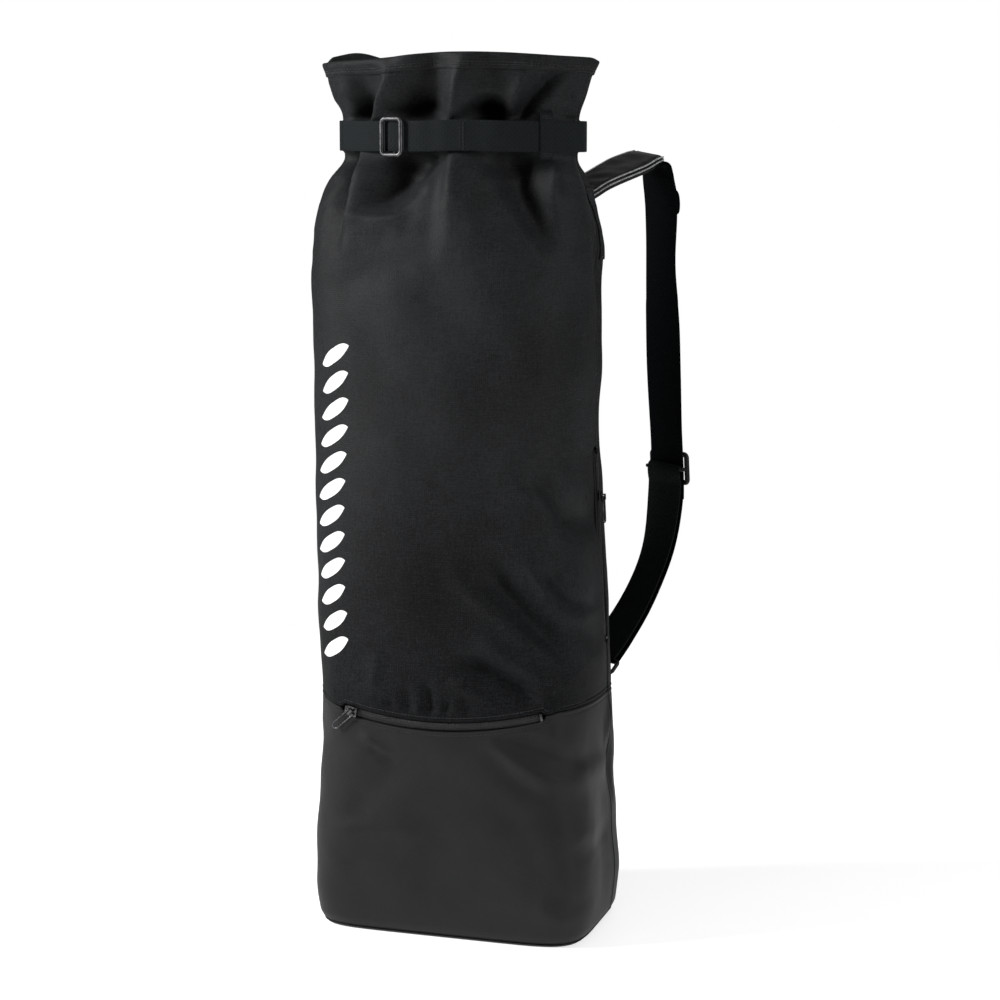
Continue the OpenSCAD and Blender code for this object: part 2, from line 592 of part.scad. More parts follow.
front_panel();
back_panel();
mouth_hem();
base_front();
base_back();
bottom_panel();
bottom_board();
front_pocket_lining();
side_pocket_lining();
front_tape_upper();
front_tape_lower();
front_coil_upper();
front_coil_lower();
front_stop_left();
front_stop_right();
side_tape_front();
side_tape_back();
side_coil_front();
side_coil_back();
side_stop_top();
side_stop_bottom();
front_slider();
front_pull();
side_slider();
side_pull();
neck_belt();
belt_fold();
belt_keeper();
back_keeper();
neck_buckle();
strap_patch();
strap_root();
strap_pad();
strap_webbing();
strap_return();
strap_loop();
strap_triglide();
lower_ring();
ring_tab();
tab_stub();
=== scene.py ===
"""Tall cinch-neck bag: cloth panels, zips, belt and shoulder strap over the CAD frame."""
import math

import bpy
import numpy as np
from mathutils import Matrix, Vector

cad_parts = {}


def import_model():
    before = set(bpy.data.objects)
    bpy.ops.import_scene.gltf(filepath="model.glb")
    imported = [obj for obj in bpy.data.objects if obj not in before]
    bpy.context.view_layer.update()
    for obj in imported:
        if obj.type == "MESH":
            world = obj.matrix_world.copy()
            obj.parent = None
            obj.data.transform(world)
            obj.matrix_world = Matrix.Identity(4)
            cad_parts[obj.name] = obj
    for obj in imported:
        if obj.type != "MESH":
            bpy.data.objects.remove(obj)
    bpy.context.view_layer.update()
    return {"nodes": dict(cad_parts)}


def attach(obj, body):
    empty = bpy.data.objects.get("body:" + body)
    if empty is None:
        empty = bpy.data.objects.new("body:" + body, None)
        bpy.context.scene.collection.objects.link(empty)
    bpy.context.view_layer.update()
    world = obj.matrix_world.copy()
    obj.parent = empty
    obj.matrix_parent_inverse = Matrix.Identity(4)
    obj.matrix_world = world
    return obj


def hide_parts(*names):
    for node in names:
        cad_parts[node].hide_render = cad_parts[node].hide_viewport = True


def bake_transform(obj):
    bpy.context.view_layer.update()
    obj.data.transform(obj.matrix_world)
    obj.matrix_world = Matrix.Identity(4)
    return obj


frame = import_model()
MM = 0.001
TAU = 2 * math.pi


# ---------------------------------------------------------------- camera, light and floor
def look_at(obj, target):
    obj.rotation_mode = "QUATERNION"
    obj.rotation_quaternion = (Vector(target) - obj.location).to_track_quat("-Z", "Y")


def add_camera():
    azimuth, elevation, distance = math.radians(17.5), math.radians(8.6), 1.98
    aim = Vector((0.031, 0.0, 0.366))
    data = bpy.data.cameras.new("camera")
    data.lens = 84.6
    data.sensor_width = 36
    cam = bpy.data.objects.new("camera", data)
    bpy.context.scene.collection.objects.link(cam)
    back = Vector((
        math.sin(azimuth) * math.cos(elevation),
        -math.cos(azimuth) * math.cos(elevation),
        math.sin(elevation),
    ))
    cam.location = aim + back * distance
    look_at(cam, aim)
    bpy.context.scene.camera = cam


AIM = (0, 0, 0.38)
# name, place, size and power of each soft box; all of them face AIM
LIGHTS = [
    ("left_box", (-1.8, -0.9, 1.25), (0.4, 1.2), 64),
    ("right_box", (2.0, -0.75, 1.15), (0.5, 1.5), 26),
    ("front_fill", (0.4, -3.0, 1.6), (1.4, 1.2), 1.6),
    ("top_box", (0, -0.4, 2.4), (1.6, 1.2), 7),
    ("back_box", (0.2, 2.0, 1.4), (1.8, 1.8), 8),
]
SKY_LIGHT = 0.03
FLOOR_HALF = 1.1


def add_lights():
    for name, place, size, power in LIGHTS:
        data = bpy.data.lights.new(name, "AREA")
        data.shape = "RECTANGLE"
        data.size, data.size_y = size
        data.energy = power
        light = bpy.data.objects.new(name, data)
        bpy.context.scene.collection.objects.link(light)
        light.location = place
        look_at(light, AIM)


def add_world():
    """White to the camera, and a faint even light on the bag."""
    world = bpy.data.worlds.new("studio")
    bpy.context.scene.world = world
    world.use_nodes = True
    tree = world.node_tree
    sky = tree.nodes["Background"]
    sky.inputs["Color"].default_value = (1.0, 1.0, 1.0, 1)
    seen = tree.nodes.new("ShaderNodeLightPath").outputs["Is Camera Ray"]
    level = tree.nodes.new("ShaderNodeMapRange")
    level.inputs["To Min"].default_value = SKY_LIGHT
    level.inputs["To Max"].default_value = 1.0
    tree.links.new(seen, level.inputs["Value"])
    tree.links.new(level.outputs[0], sky.inputs["Strength"])
    bpy.context.scene.view_settings.view_transform = "Standard"


def add_floor():
    mesh = bpy.data.meshes.new("floor")
    corners = [(x * FLOOR_HALF, y * FLOOR_HALF, 0) for x, y in ((-1, -1), (1, -1), (1, 1), (-1, 1))]
    mesh.from_pydata(corners, [], [(0, 1, 2, 3)])
    floor = bpy.data.objects.new("floor", mesh)
    bpy.context.scene.collection.objects.link(floor)
    floor.data.materials.append(floor_material())


# ---------------------------------------------------------------- materials
class Nodes:
    """A material's node tree with short calls for the nodes used here."""

    def __init__(self, name):
        self.material = bpy.data.materials.new(name)
        self.material.use_nodes = True
        self.tree = self.material.node_tree
        self.shader = self.tree.nodes["Principled BSDF"]

    def add(self, kind, inputs=None, **props):
        node = self.tree.nodes.new("ShaderNode" + kind)
        for key, value in props.items():
            setattr(node, key, value)
        for key, value in (inputs or {}).items():
            if isinstance(value, bpy.types.NodeSocket):
                self.tree.links.new(value, node.inputs[key])
            else:
                node.inputs[key].default_value = value
        return node

    def math(self, operation, a, b):
        return self.add("Math", {0: a, 1: b}, operation=operation).outputs[0]

    def sum(self, *terms):
        """Sum of values, each given alone or as a (value, weight) pair."""
        total = None
        for term in terms:
            if isinstance(term, tuple):
                term = self.math("MULTIPLY", *term)
            total = term if total is None else self.math("ADD", total, term)
        return total

    def scaled(self, source, scale=(1, 1, 1)):
        coords = self.add("TexCoord").outputs[source]
        return self.add("Mapping", {"Vector": coords, "Scale": scale}).outputs[0]

    def noise(self, vector, scale, detail=3.0, roughness=0.5):
        inputs = {"Vector": vector, "Scale": scale, "Detail": detail, "Roughness": roughness}
        return self.add("TexNoise", inputs).outputs[0]

    def ribs(self, vector, pitch, way):
        """Waves a pitch apart: Blender's wave texture repeats every TAU / 20 / scale."""
        inputs = {"Vector": vector, "Scale": TAU / 20 / pitch}
        return self.add("TexWave", inputs, bands_direction=way).outputs[1]

    def checks(self, vector, pitch):
        return self.add("TexChecker", {"Vector": vector, "Scale": 1 / pitch}).outputs[1]

    def ramp(self, value, low, high, a, b):
        """Maps value from low..high to a..b."""
        inputs = {"Value": value, "From Min": low, "From Max": high, "To Min": a, "To Max": b}
        return self.add("MapRange", inputs).outputs[0]

    def tint(self, factor, dark, light):
        mix = self.add("Mix", {0: factor, 6: (*dark, 1), 7: (*light, 1)}, data_type="RGBA")
        return mix.outputs[2]

    def set(self, **values):
        for key, value in values.items():
            socket = self.shader.inputs[key.replace("_", " ")]
            if isinstance(value, bpy.types.NodeSocket):
                self.tree.links.new(value, socket)
            else:
                socket.default_value = value

    def bump(self, height, distance, strength=1.0, below=None):
        inputs = {"Height": height, "Distance": distance, "Strength": strength}
        if below is not None:
            inputs["Normal"] = below
        return self.add("Bump", inputs).outputs[0]


def shade(colour, k):
    return tuple(c * k for c in colour)


def floor_material():
    n = Nodes("floor_paper")
    grain = n.noise(n.scaled("Object"), 90.0)
    n.set(
        Base_Color=n.tint(grain, (0.88, 0.88, 0.88), (0.9, 0.9, 0.9)),
        Roughness=0.9,
        Emission_Color=(1, 1, 1, 1),
        Emission_Strength=0.6,
    )
    return n.material


def weave_height(n, pitch):
    """Plain weave: warp and weft ribs that show by turns."""
    uv = n.scaled("UV")
    warp, weft = n.ribs(uv, pitch, "X"), n.ribs(uv, pitch, "Y")
    mix = n.add("Mix", {0: n.checks(uv, pitch), 2: warp, 3: weft}, data_type="FLOAT")
    return mix.outputs[0]


# Heights in metres over which the upper cloth's painted shade fades: fullest at the lower height, none from
# the upper one up.
PAINTED_SHADE_LOW_Z, PAINTED_SHADE_HIGH_Z = 0.19, 0.42


def cloth_material(name, colour, pitch, depth, sheen, roughness, specular=0.12, painted_low_shade=0.0):
    """Woven cloth in a heather of dark and light threads; painted_low_shade is painted shade that darkens its
    lower part and dims its specular level there.
    """
    n = Nodes(name)
    place = n.scaled("Object")
    weave = weave_height(n, pitch)
    slubs = [n.noise(n.scaled("UV", scale), 1.0, 2) for scale in ((60, 1400, 1), (1400, 60, 1))]
    threads = n.sum((slubs[0], 0.5), (slubs[1], 0.5))
    heather = n.noise(n.scaled("Object", (1, 1, 1.4)), 520.0)
    mottle = n.ramp(n.noise(place, 9.0, 4), 0.3, 0.7, -0.08, 0.08)
    tone = n.sum((weave, 0.1), (threads, 0.5), (heather, 0.4), mottle)
    gloss = specular
    # painted shade: towards the bottom of the cloth its colour and specular level are turned down, standing
    # in for the shade that falls on the lower body
    if painted_low_shade:
        height = n.add("SeparateXYZ", {"Vector": place}).outputs[2]
        tone = n.sum(tone, n.ramp(height, PAINTED_SHADE_LOW_Z, PAINTED_SHADE_HIGH_Z, -0.1 * painted_low_shade, 0.0))
        gloss = n.ramp(height, PAINTED_SHADE_LOW_Z, PAINTED_SHADE_HIGH_Z, specular * (1 - painted_low_shade), specular)
    n.set(
        Base_Color=n.tint(n.ramp(tone, 0.38, 0.62, 0, 1), shade(colour, 0.38), shade(colour, 1.75)),
        Roughness=n.ramp(threads, 0.35, 0.65, roughness - 0.05, roughness + 0.07),
        Sheen_Weight=sheen,
        Sheen_Roughness=0.45,
        Specular_IOR_Level=gloss,
    )
    fine = n.bump(n.sum((weave, 0.35), threads, heather), depth, 0.6)
    n.set(Normal=n.bump(n.noise(place, 60.0), 0.0006, 0.25, fine))
    return n.material


def coated_material(name, colour):
    """Coated cloth with a fine leather grain."""
    n = Nodes(name)
    place = n.scaled("Object")
    pebble = n.add("TexVoronoi", {"Vector": place, "Scale": 820.0}, feature="DISTANCE_TO_EDGE").outputs[0]
    rub = n.noise(place, 14.0, 5, 0.6)
    n.set(
        Base_Color=n.tint(n.ramp(rub, 0.35, 0.68, 0, 1), shade(colour, 0.86), shade(colour, 1.18)),
        Roughness=n.ramp(rub, 0.3, 0.7, 0.5, 0.62),
        Specular_IOR_Level=0.16,
    )
    grain = n.bump(n.ramp(pebble, 0.0, 0.22, 0, 1), 0.00012, 0.55)
    grain = n.bump(n.noise(place, 900.0, 2), 0.00008, 0.4, grain)
    n.set(Normal=n.bump(n.noise(place, 70.0), 0.0008, 0.3, grain))
    return n.material


def webbing_material(name, colour, rib=0.0013, specular=0.08):
    """Ribbed webbing: u runs across, v along, both in metres."""
    n = Nodes(name)
    uv = n.scaled("UV")
    pick = n.math("MULTIPLY", n.ribs(uv, rib * 1.6, "X"), n.checks(uv, rib * 1.6))
    height = n.sum((n.ribs(uv, rib, "Y"), 0.6), (pick, 0.5))
    fuzz = n.noise(n.scaled("Object"), 260.0, 4)
    tone = n.ramp(n.sum(height, fuzz), 0.5, 1.3, 0, 1)
    n.set(
        Base_Color=n.tint(tone, shade(colour, 0.7), shade(colour, 1.5)),
        Roughness=n.ramp(fuzz, 0.3, 0.7, 0.62, 0.78),
        Specular_IOR_Level=specular,
    )
    n.set(Normal=n.bump(n.sum(height, (fuzz, 0.25)), 0.0003, 0.7))
    return n.material


def metal_material(name, colour, roughness, brightness):
    """Plated metal: fine brushing, faint tarnish and brighter rubbed spots."""
    n = Nodes(name)
    brush = n.noise(n.scaled("Object", (900, 900, 90)), 1.0, 2)
    rub = n.noise(n.scaled("Object"), 120.0, 4, 0.6)
    n.set(
        Base_Color=n.tint(n.ramp(rub, 0.45, 0.7, 0, 1), colour, shade(colour, brightness)),
        Metallic=1.0,
        Roughness=n.ramp(brush, 0.3, 0.7, roughness - 0.06, roughness + 0.08),
        Normal=n.bump(brush, 0.00002, 0.3),
    )
    return n.material


def plastic_material(name, colour, roughness, specular=0.5):
    """Moulded plastic with a faint mottle and a fine speckled skin."""
    n = Nodes(name)
    place = n.scaled("Object")
    speck = n.noise(place, 500.0)
    n.set(
        Base_Color=n.tint(n.noise(place, 40.0), shade(colour, 0.8), shade(colour, 1.25)),
        Roughness=n.ramp(speck, 0.3, 0.7, roughness - 0.06, roughness + 0.06),
        Specular_IOR_Level=specular,
        Normal=n.bump(speck, 0.00003, 0.3),
    )
    return n.material


def print_material():
    """White ink on cloth: the weave shows through and the ink is a little worn."""
    n = Nodes("print_ink")
    wear = n.ramp(n.noise(n.scaled("Object"), 700.0, 4), 0.3, 0.42, 0, 1)
    n.set(
        Base_Color=n.tint(wear, (0.55, 0.55, 0.55), (0.86, 0.86, 0.86)),
        Roughness=0.55,
        Normal=n.bump(weave_height(n, 0.0016), 0.00012, 0.5),
    )
    return n.material


# Woven cloths have their colour, then the pitch of the weave, the depth of its relief, sheen and roughness.
# CLOTH's last number, 0.7, is painted shade: how much darker and less glossy its lower part is made.
CLOTH = cloth_material("woven_cloth_black", (0.0098, 0.0105, 0.0114), 0.0016, 0.0004, 0.012, 0.6, 0.14, 0.7)
TAPE = cloth_material("zip_tape_black", (0.005, 0.005, 0.0055), 0.0007, 0.0002, 0.02, 0.75)
LINING = cloth_material("lining_black", (0.012, 0.012, 0.013), 0.0006, 0.0001, 0.1, 0.6)
THREAD = cloth_material("thread_black", (0.018, 0.018, 0.0195), 0.0003, 0.0001, 0.2, 0.55)
PIPING = cloth_material("piping_grey", (0.3, 0.305, 0.31), 0.0005, 0.0001, 0.1, 0.6)
COATED = coated_material("coated_cloth_charcoal", (0.0112, 0.0114, 0.0122))
# painted shade: the pad's cover is a darker copy of the coated cloth's colour, so that its up-facing top,
# which the lamps light strongly, looks shaded
PAD_PAINTED_SHADE = coated_material("pad_cloth_painted_shade", (0.0062, 0.0064, 0.0068))
WEBBING = webbing_material("webbing_black", (0.0085, 0.0105, 0.0115))
# painted shade: the long strap's webbing is a much darker, less glossy copy of the belt webbing's colour,
# standing in for the shade on the edge-on strap
STRAP_WEB_PAINTED_SHADE = webbing_material("strap_webbing_painted_shade", (0.0016, 0.0021, 0.0025), 0.0016, 0.02)
# painted shade: the return layer, the same webbing, is another darker copy of the belt webbing's colour, a
# little lighter than the long strap's
STRAP_RETURN_PAINTED_SHADE = webbing_material("strap_return_painted_shade", (0.0045, 0.0056, 0.006), 0.0016, 0.05)
COIL = plastic_material("coil_black", (0.016, 0.016, 0.017), 0.4, 0.4)
PLASTIC = plastic_material("moulded_black", (0.005, 0.005, 0.0055), 0.45, 0.2)
BOARD = plastic_material("board_grey", (0.05, 0.05, 0.05), 0.6)
GREY_METAL = metal_material("satin_grey_metal", (0.075, 0.075, 0.078), 0.46, 1.7)
DARK_METAL = metal_material("dark_plated_metal", (0.06, 0.06, 0.063), 0.28, 2.6)
INK = print_material()


# ---------------------------------------------------------------- shape of the bag, in millimetres
# Level sections of the bag. Each has its height, half width, shift to the right, the y of the side
# seams, of the front and of the back, and how square its front and its back are (2 is an ellipse).
ROWS = np.array([
    [0, 116, 0, 36, -64, 67, 7.0, 5.0],
    [12, 121, 0, 36, -68, 70, 7.0, 5.0],
    [55, 124, 0, 36, -70, 72, 6.0, 4.5],
    [125, 122, -2, 36, -70, 73, 4.6, 4.2],
    [200, 121, -5, 37, -70, 73, 3.6, 4.0],
    [300, 122, -9, 35, -70, 71, 3.0, 3.8],
    [400, 121, -13, 30, -69, 69, 2.7, 3.6],
    [480, 124, -13, 24, -69, 65, 2.6, 3.4],
    [545, 124, -13, 17, -67, 58, 2.5, 3.2],
    [595, 120.5, -11, 13, -60, 50, 2.3, 2.8],
    [635, 110, -8, 9, -50, 41, 2.1, 2.2],
    [652, 101.5, -5, 8, -40.8, 37, 2.0, 2.0],
    [686, 103, -6, 8, -40.8, 37, 2.0, 2.0],
    [705, 112, -7, 8, -48, 40, 1.9, 1.9],
    [729, 119, -7.5, 8, -50, 46, 1.8, 1.8],
])
HEIGHT, HALF_W, SHIFT, SEAM_Y, FRONT_Y, BACK_Y, FRONT_SQUARE, BACK_SQUARE = range(8)
BAG_H = 729.0
# Height of the seam round the waist, and the arc that it follows along the front zip.
SEAM_Z = 200.0
ZIP_X, ZIP_Z, ZIP_R, ZIP_TILT = -9.0, 184.0, 280.0, math.radians(46.6)
ZIP_ENDS = (-86.0, 86.0)
SIDE_ZIP = (245.0, 408.0)
# Half of the gap between two panels: along a zip, and at a plain seam.
SLOT = 4.2
GAP = 0.3
CLOTH_T, BASE_T = 1.2, 1.6


def table_slopes():
    rows = len(ROWS)
    low = np.maximum(np.arange(rows) - 1, 0)
    high = np.minimum(np.arange(rows) + 1, rows - 1)
    return (ROWS[high] - ROWS[low]) / (ROWS[high, :1] - ROWS[low, :1])


SLOPES = table_slopes()


def column(z, c):
    """Smooth curve through one column of the table, at heights z."""
    z = np.asarray(z, float)
    heights = ROWS[:, HEIGHT]
    i = np.clip(np.searchsorted(heights, z, side="right") - 1, 0, len(ROWS) - 2)
    h = heights[i + 1] - heights[i]
    t = (z - heights[i]) / h
    return (
        (2 * t**3 - 3 * t**2 + 1) * ROWS[i, c]
        + (t**3 - 2 * t**2 + t) * h * SLOPES[i, c]
        + (3 * t**2 - 2 * t**3) * ROWS[i + 1, c]
        + (t**3 - t**2) * h * SLOPES[i + 1, c]
    )


ZIP_Y = float(column(ZIP_Z, FRONT_Y))


def smooth(a, b, v):
    t = np.clip((np.asarray(v, float) - a) / (b - a), 0, 1)
    return t * t * (3 - 2 * t)


def bell(v, width):
    return np.exp(-((np.asarray(v, float) / width) ** 2))


def zip_sag(x):
    """How far the front zip's arc has left its lowest point, along its tilted plane."""
    s = np.clip((x - ZIP_X) / ZIP_R, -0.9, 0.9)
    return ZIP_R * (1 - np.sqrt(1 - s * s))


def seam_z(x):
    """Height of the front's waist seam: the zip's arc, up to the level of the rest."""
    return np.minimum(SEAM_Z, ZIP_Z + zip_sag(x) * math.sin(ZIP_TILT))


def half_depth(z, front):
    """Depth of the front or the back part of the bag, measured from the side seams."""
    return np.where(front, column(z, SEAM_Y) - column(z, FRONT_Y), column(z, BACK_Y) - column(z, SEAM_Y))


def skin(z, turn):
    """Points of the plain skin; turn 0 is the right seam, -90 the front."""
    z, turn = np.broadcast_arrays(np.asarray(z, float), np.asarray(turn, float))
    front = turn < 0
    n = np.where(front, column(z, FRONT_SQUARE), column(z, BACK_SQUARE))
    c, s = np.cos(np.radians(turn)), np.sin(np.radians(turn))
    r = (np.abs(c) ** n + np.abs(s) ** n) ** (-1 / n)
    x = column(z, SHIFT) + column(z, HALF_W) * c * r
    y = column(z, SEAM_Y) + half_depth(z, front) * s * r
    # the cloth beside the front zip lies on the zip's own curved sheet
    near = bell(z - seam_z(x), 35) * (1 - smooth(88, 112, np.abs(x))) * front
    y = y * (1 - near) + (ZIP_Y + zip_sag(x) * math.cos(ZIP_TILT)) * near
    return np.stack([x, y, z], axis=-1)


def unit(v):
    return v / np.maximum(np.linalg.norm(v, axis=-1, keepdims=True), 1e-9)


def skin_normal(z, turn):
    up = skin(z + 0.5, turn) - skin(z - 0.5, turn)
    along = skin(z, turn + 0.3) - skin(z, turn - 0.3)
    return unit(np.cross(along, up))


def waves(p, length, seed, count=14):
    """Smooth random field about -1..1 with bumps about `length` mm long."""
    rng = np.random.default_rng(seed)
    total = 0
    for _ in range(count):
        way = unit(rng.normal(size=3))
        total = total + np.sin(p @ way * (TAU / length) * rng.uniform(0.6, 1.4) + rng.uniform(0, TAU))
    return total / math.sqrt(count / 2) / 1.4


def fold(x, z, rows, power=2.0):
    """A ridge or valley: rows of (z, x, height, left width, right width) from the top down."""
    rows = np.array(rows, float)[::-1]
    at, height, left, right = (np.interp(z, rows[:, 0], rows[:, k]) for k in range(1, 5))
    inside = (z >= rows[0, 0]) & (z <= rows[-1, 0])
    s = np.abs(x - at) / np.where(x < at, left, right)
    return np.where(inside, height * np.exp(-(s**power)), 0)


# Upright folds of the gathered neck, for fold(): the rows of each, and the power of its profile.
# Valleys are negative. Under the belt they fade out into the body, above it towards the rim.
FRONT_FOLDS = [
    # below the belt, from left to right
    ([(668, -88, 0, 6, 3), (660, -88, -6, 8, 3), (650, -87, -13, 10, 3.5), (635, -88, -12, 11, 4),
      (618, -91, -8, 12, 5), (600, -94, -4, 13, 6), (575, -96, 0, 14, 7)], 1.6),
    ([(664, -80, 0, 3, 10), (650, -79, 4, 3.5, 12), (630, -82, 5, 4, 14), (605, -85, 4, 4.5, 14),
      (580, -87, 2, 5, 14), (552, -88, 0, 6, 14)], 1.5),
    ([(668, -30, 0, 18, 16), (658, -30, -9, 20, 18), (648, -31, -15, 21, 19), (636, -35, -15, 22, 18),
      (624, -42, -12, 22, 17), (613, -51, -7, 20, 15), (603, -58, 0, 18, 14)], 2.6),
    ([(614, -50, 0, 20, 16), (604, -52, 3, 24, 17), (588, -53, 0, 26, 20)], 2),
    ([(664, 6, 0, 6, 20), (652, 4, 6, 5, 22), (632, 6, 7, 7, 24), (606, 8, 4.5, 12, 26),
      (582, 8, 1.5, 16, 28),
      (558, 8, 0, 18, 28)], 2),
    ([(668, 52, 0, 14, 14), (658, 53, -9, 16, 15), (648, 55, -13, 18, 15), (630, 62, -13, 17, 12),
      (612, 70, -12, 14, 11), (600, 75, -9, 12, 10), (588, 80, -4, 10, 9), (574, 84, 0, 8, 9)], 2.4),
    ([(650, 83, 0, 4, 4), (638, 84, 4, 3.5, 5), (624, 85, 3, 4, 6), (610, 88, 0, 6, 6)], 1.8),
    # above the belt, from left to right
    ([(725, -73, 0, 14, 14), (712, -76, -7, 14, 16), (698, -79, -11, 12, 13), (685, -83, -13, 10, 11),
      (674, -86, -5, 8, 9), (668, -87, 0, 8, 8)], 2.2),
    ([(727, -50, 0, 6, 10), (712, -53, 5, 4.5, 12), (696, -62, 5.5, 3.5, 10), (683, -69, 3, 3.5, 4.8),
      (673, -71, 0, 4, 8)], 1.5),
    ([(729, -6, -4, 16, 12), (715, -12, -8, 18, 14), (703, -17, -11, 20, 15), (688, -20, -12, 20, 13),
      (677, -21, -5, 16, 11), (668, -21, 0, 14, 10)], 2.2),
    ([(729, 18, 2, 12, 14), (712, 10, 5, 7, 14), (692, 4, 6, 5, 12), (680, 2, 3, 5, 10),
      (672, 2, 0, 6, 10)], 1.6),
    ([(703, 34, 0, 8, 8), (697, 33, -5, 11, 11), (690, 32, -12, 15, 15), (681, 32, -14, 17, 16),
      (673, 32, -6, 14, 14),
      (668, 32, 0, 12, 12)], 2.6),
    ([(722, 88, 0, 8, 8), (712, 82, -6, 9, 6), (703, 74, -8, 9, 6), (693, 64, -8, 9, 6),
      (684, 58, -8, 8, 7),
      (675, 57, -3, 7, 7), (668, 57, 0, 6, 6)], 1.8),
    ([(727, 66, 1, 9, 6), (708, 60, 4, 8, 5), (690, 50, 4, 6, 4), (676, 48, 0, 5, 4)], 1.8),
    ([(706, 93, 0, 2.5, 2.5), (700, 93, 2, 2.5, 2.5), (690, 93, 2, 2.5, 2.5), (683, 93, 0, 2.5, 2.5)], 1.6),
]
BACK_FOLDS = [
    ([(727, 84, -1, 9, 9), (705, 80, -6, 9, 7), (687, 76, -6, 7, 6), (668, 74, -2, 6, 6),
      (648, 76, -7, 7, 7),
      (620, 82, -4, 9, 8), (588, 88, 0, 12, 10)], 1.8),
    ([(727, 52, 1, 10, 9), (705, 50, 3.5, 8, 8), (687, 47, 3, 7, 7), (668, 46, 1, 7, 7), (648, 46, 4, 8, 8),
      (615, 48, 1.5, 11, 11), (590, 50, 0, 14, 14)], 1.8),
    ([(727, 24, -2, 10, 10), (703, 22, -6, 9, 8), (686, 20, -6, 7, 7), (668, 20, -2, 7, 7),
      (650, 21, -7, 8, 9),
      (622, 24, -4.5, 11, 12), (590, 28, 0, 16, 16)], 2),
    ([(727, -8, 1, 12, 10), (703, -6, 4, 8, 8), (686, -5, 3, 8, 7), (668, -5, 1, 7, 7), (648, -6, 4, 9, 8),
      (610, -8, 1, 12, 12), (585, -8, 0, 14, 14)], 1.7),
    ([(727, -36, -1, 10, 10), (703, -38, -6, 9, 9), (686, -38, -5, 8, 7), (668, -38, -2, 7, 7),
      (648, -40, -7, 9, 8),
      (618, -46, -4, 12, 10), (580, -54, 0, 16, 14)], 1.9),
    ([(727, -68, 1, 10, 10), (703, -66, 3, 8, 8), (668, -62, 1, 7, 7), (648, -64, 3.5, 8, 9),
      (612, -70, 1, 12, 12),
      (585, -74, 0, 14, 14)], 1.8),
    ([(727, -92, -2, 8, 8), (703, -88, -6, 8, 7), (668, -84, -2, 6, 6), (648, -87, -6, 7, 7),
      (616, -96, -3, 9, 8),
      (585, -104, 0, 12, 10)], 1.8),
]
# Slanted creases of the full body, for crease(): from (x, z), to (x, z), bow to the left of that way,
# height, and the widths of its left and right sides. SIDE_CREASES give y for x.
FRONT_CREASES = [
    # fan of folds at the lower right of the upper cloth
    ((28, 326), (106, 238), 3, -10.0, 15, 10),
    ((10, 314), (98, 240), 0, 5.0, 7, 11),
    ((73, 322), (110, 234), 2, 5.5, 5, 3.5),
    ((74, 402), (110, 336), 3, -5.0, 7, 9),
    ((70, 388), (104, 330), 2, 2.5, 8, 11),
    ((88, 320), (112, 276), 0, -4.0, 4, 6),
    ((84, 312), (108, 268), 0, 2.5, 5, 6),
    ((12, 240), (86, 204), 8, -8.0, 7, 10),
    ((32, 264), (98, 220), 0, 4.5, 7, 10),
    ((8, 222), (46, 211), 0, 3.5, 6, 6),
    ((36, 470), (56, 250), 0, -5.0, 40, 26),
    ((-40, 420), (-22, 230), 0, 4.0, 30, 40),
    ((-100, 560), (-40, 470), 0, -2.0, 18, 18),
    ((-20, 540), (70, 480), 4, -2.5, 20, 16),
    # short pleats above the zip
    ((-52, 246), (-61, 208), 0, 2.0, 5, 7),
    ((-45, 206), (-42, 184), 0, -2.6, 3, 5),
    ((-29, 219), (-25, 186), 0, -2.8, 4, 7),
    ((-19, 204), (-19, 186), 0, 2.2, 3, 4),
    ((-12, 222), (-6, 187), 0, -3.4, 6, 4),
    ((8, 208), (5, 188), 0, -2.6, 3, 4),
    ((20, 212), (28, 192), 0, -2.0, 4, 6),
    # coated base
    ((52, 176), (118, 150), 4, -4.5, 8, 8),
    ((36, 181), (112, 136), -3, 3.2, 5, 11),
    ((92, 190), (121, 130), 0, 2.4, 7, 8),
    ((40, 168), (92, 128), -3, -3.2, 6, 11),
    ((-72, 173), (-44, 156), 0, 2.0, 3, 4),
    ((-64, 164), (-38, 150), 0, -2.0, 3, 5),
    ((-30, 156), (-88, 94), 0, -2.2, 18, 11),
    ((-104, 86), (-8, 93), 2, 2.2, 9, 9),
    ((-90, 56), (-26, 77), 0, -2.4, 11, 12),
    ((52, 134), (96, 40), 0, -3.2, 20, 22),
    ((98, 102), (124, 86), 0, 1.1, 9, 10),
    ((112, 88), (124, 72), 0, -0.9, 8, 9),
    ((94, 50), (119, 33), 0, -2.2, 7, 9),
    ((82, 37), (112, 21), 0, 1.8, 8, 8),
]
BACK_CREASES = [
    ((70, 560), (10, 500), 4, -5.0, 10, 16),
    ((-60, 560), (0, 490), -4, -5.0, 16, 10),
    ((90, 420), (20, 330), 3, -4.5, 12, 16),
    ((-100, 400), (-30, 300), 0, -4.5, 14, 14),
    ((-20, 290), (60, 225), 4, -4.5, 8, 14),
    ((-70, 250), (-20, 212), 0, -3.5, 8, 8),
    ((100, 180), (30, 120), 0, -4.0, 8, 14),
    ((-100, 150), (-20, 70), 0, -4.5, 12, 14),
    ((20, 90), (90, 30), 0, -3.5, 10, 10),
]
SIDE_CREASES = [
    ((20, 520), (60, 430), 0, -3.0, 12, 12),
    ((-10, 600), (30, 530), 0, -3.5, 8, 12),
    ((10, 180), (60, 100), 0, -3.5, 10, 14),
    ((50, 200), (10, 130), 0, 2.5, 8, 8),
]


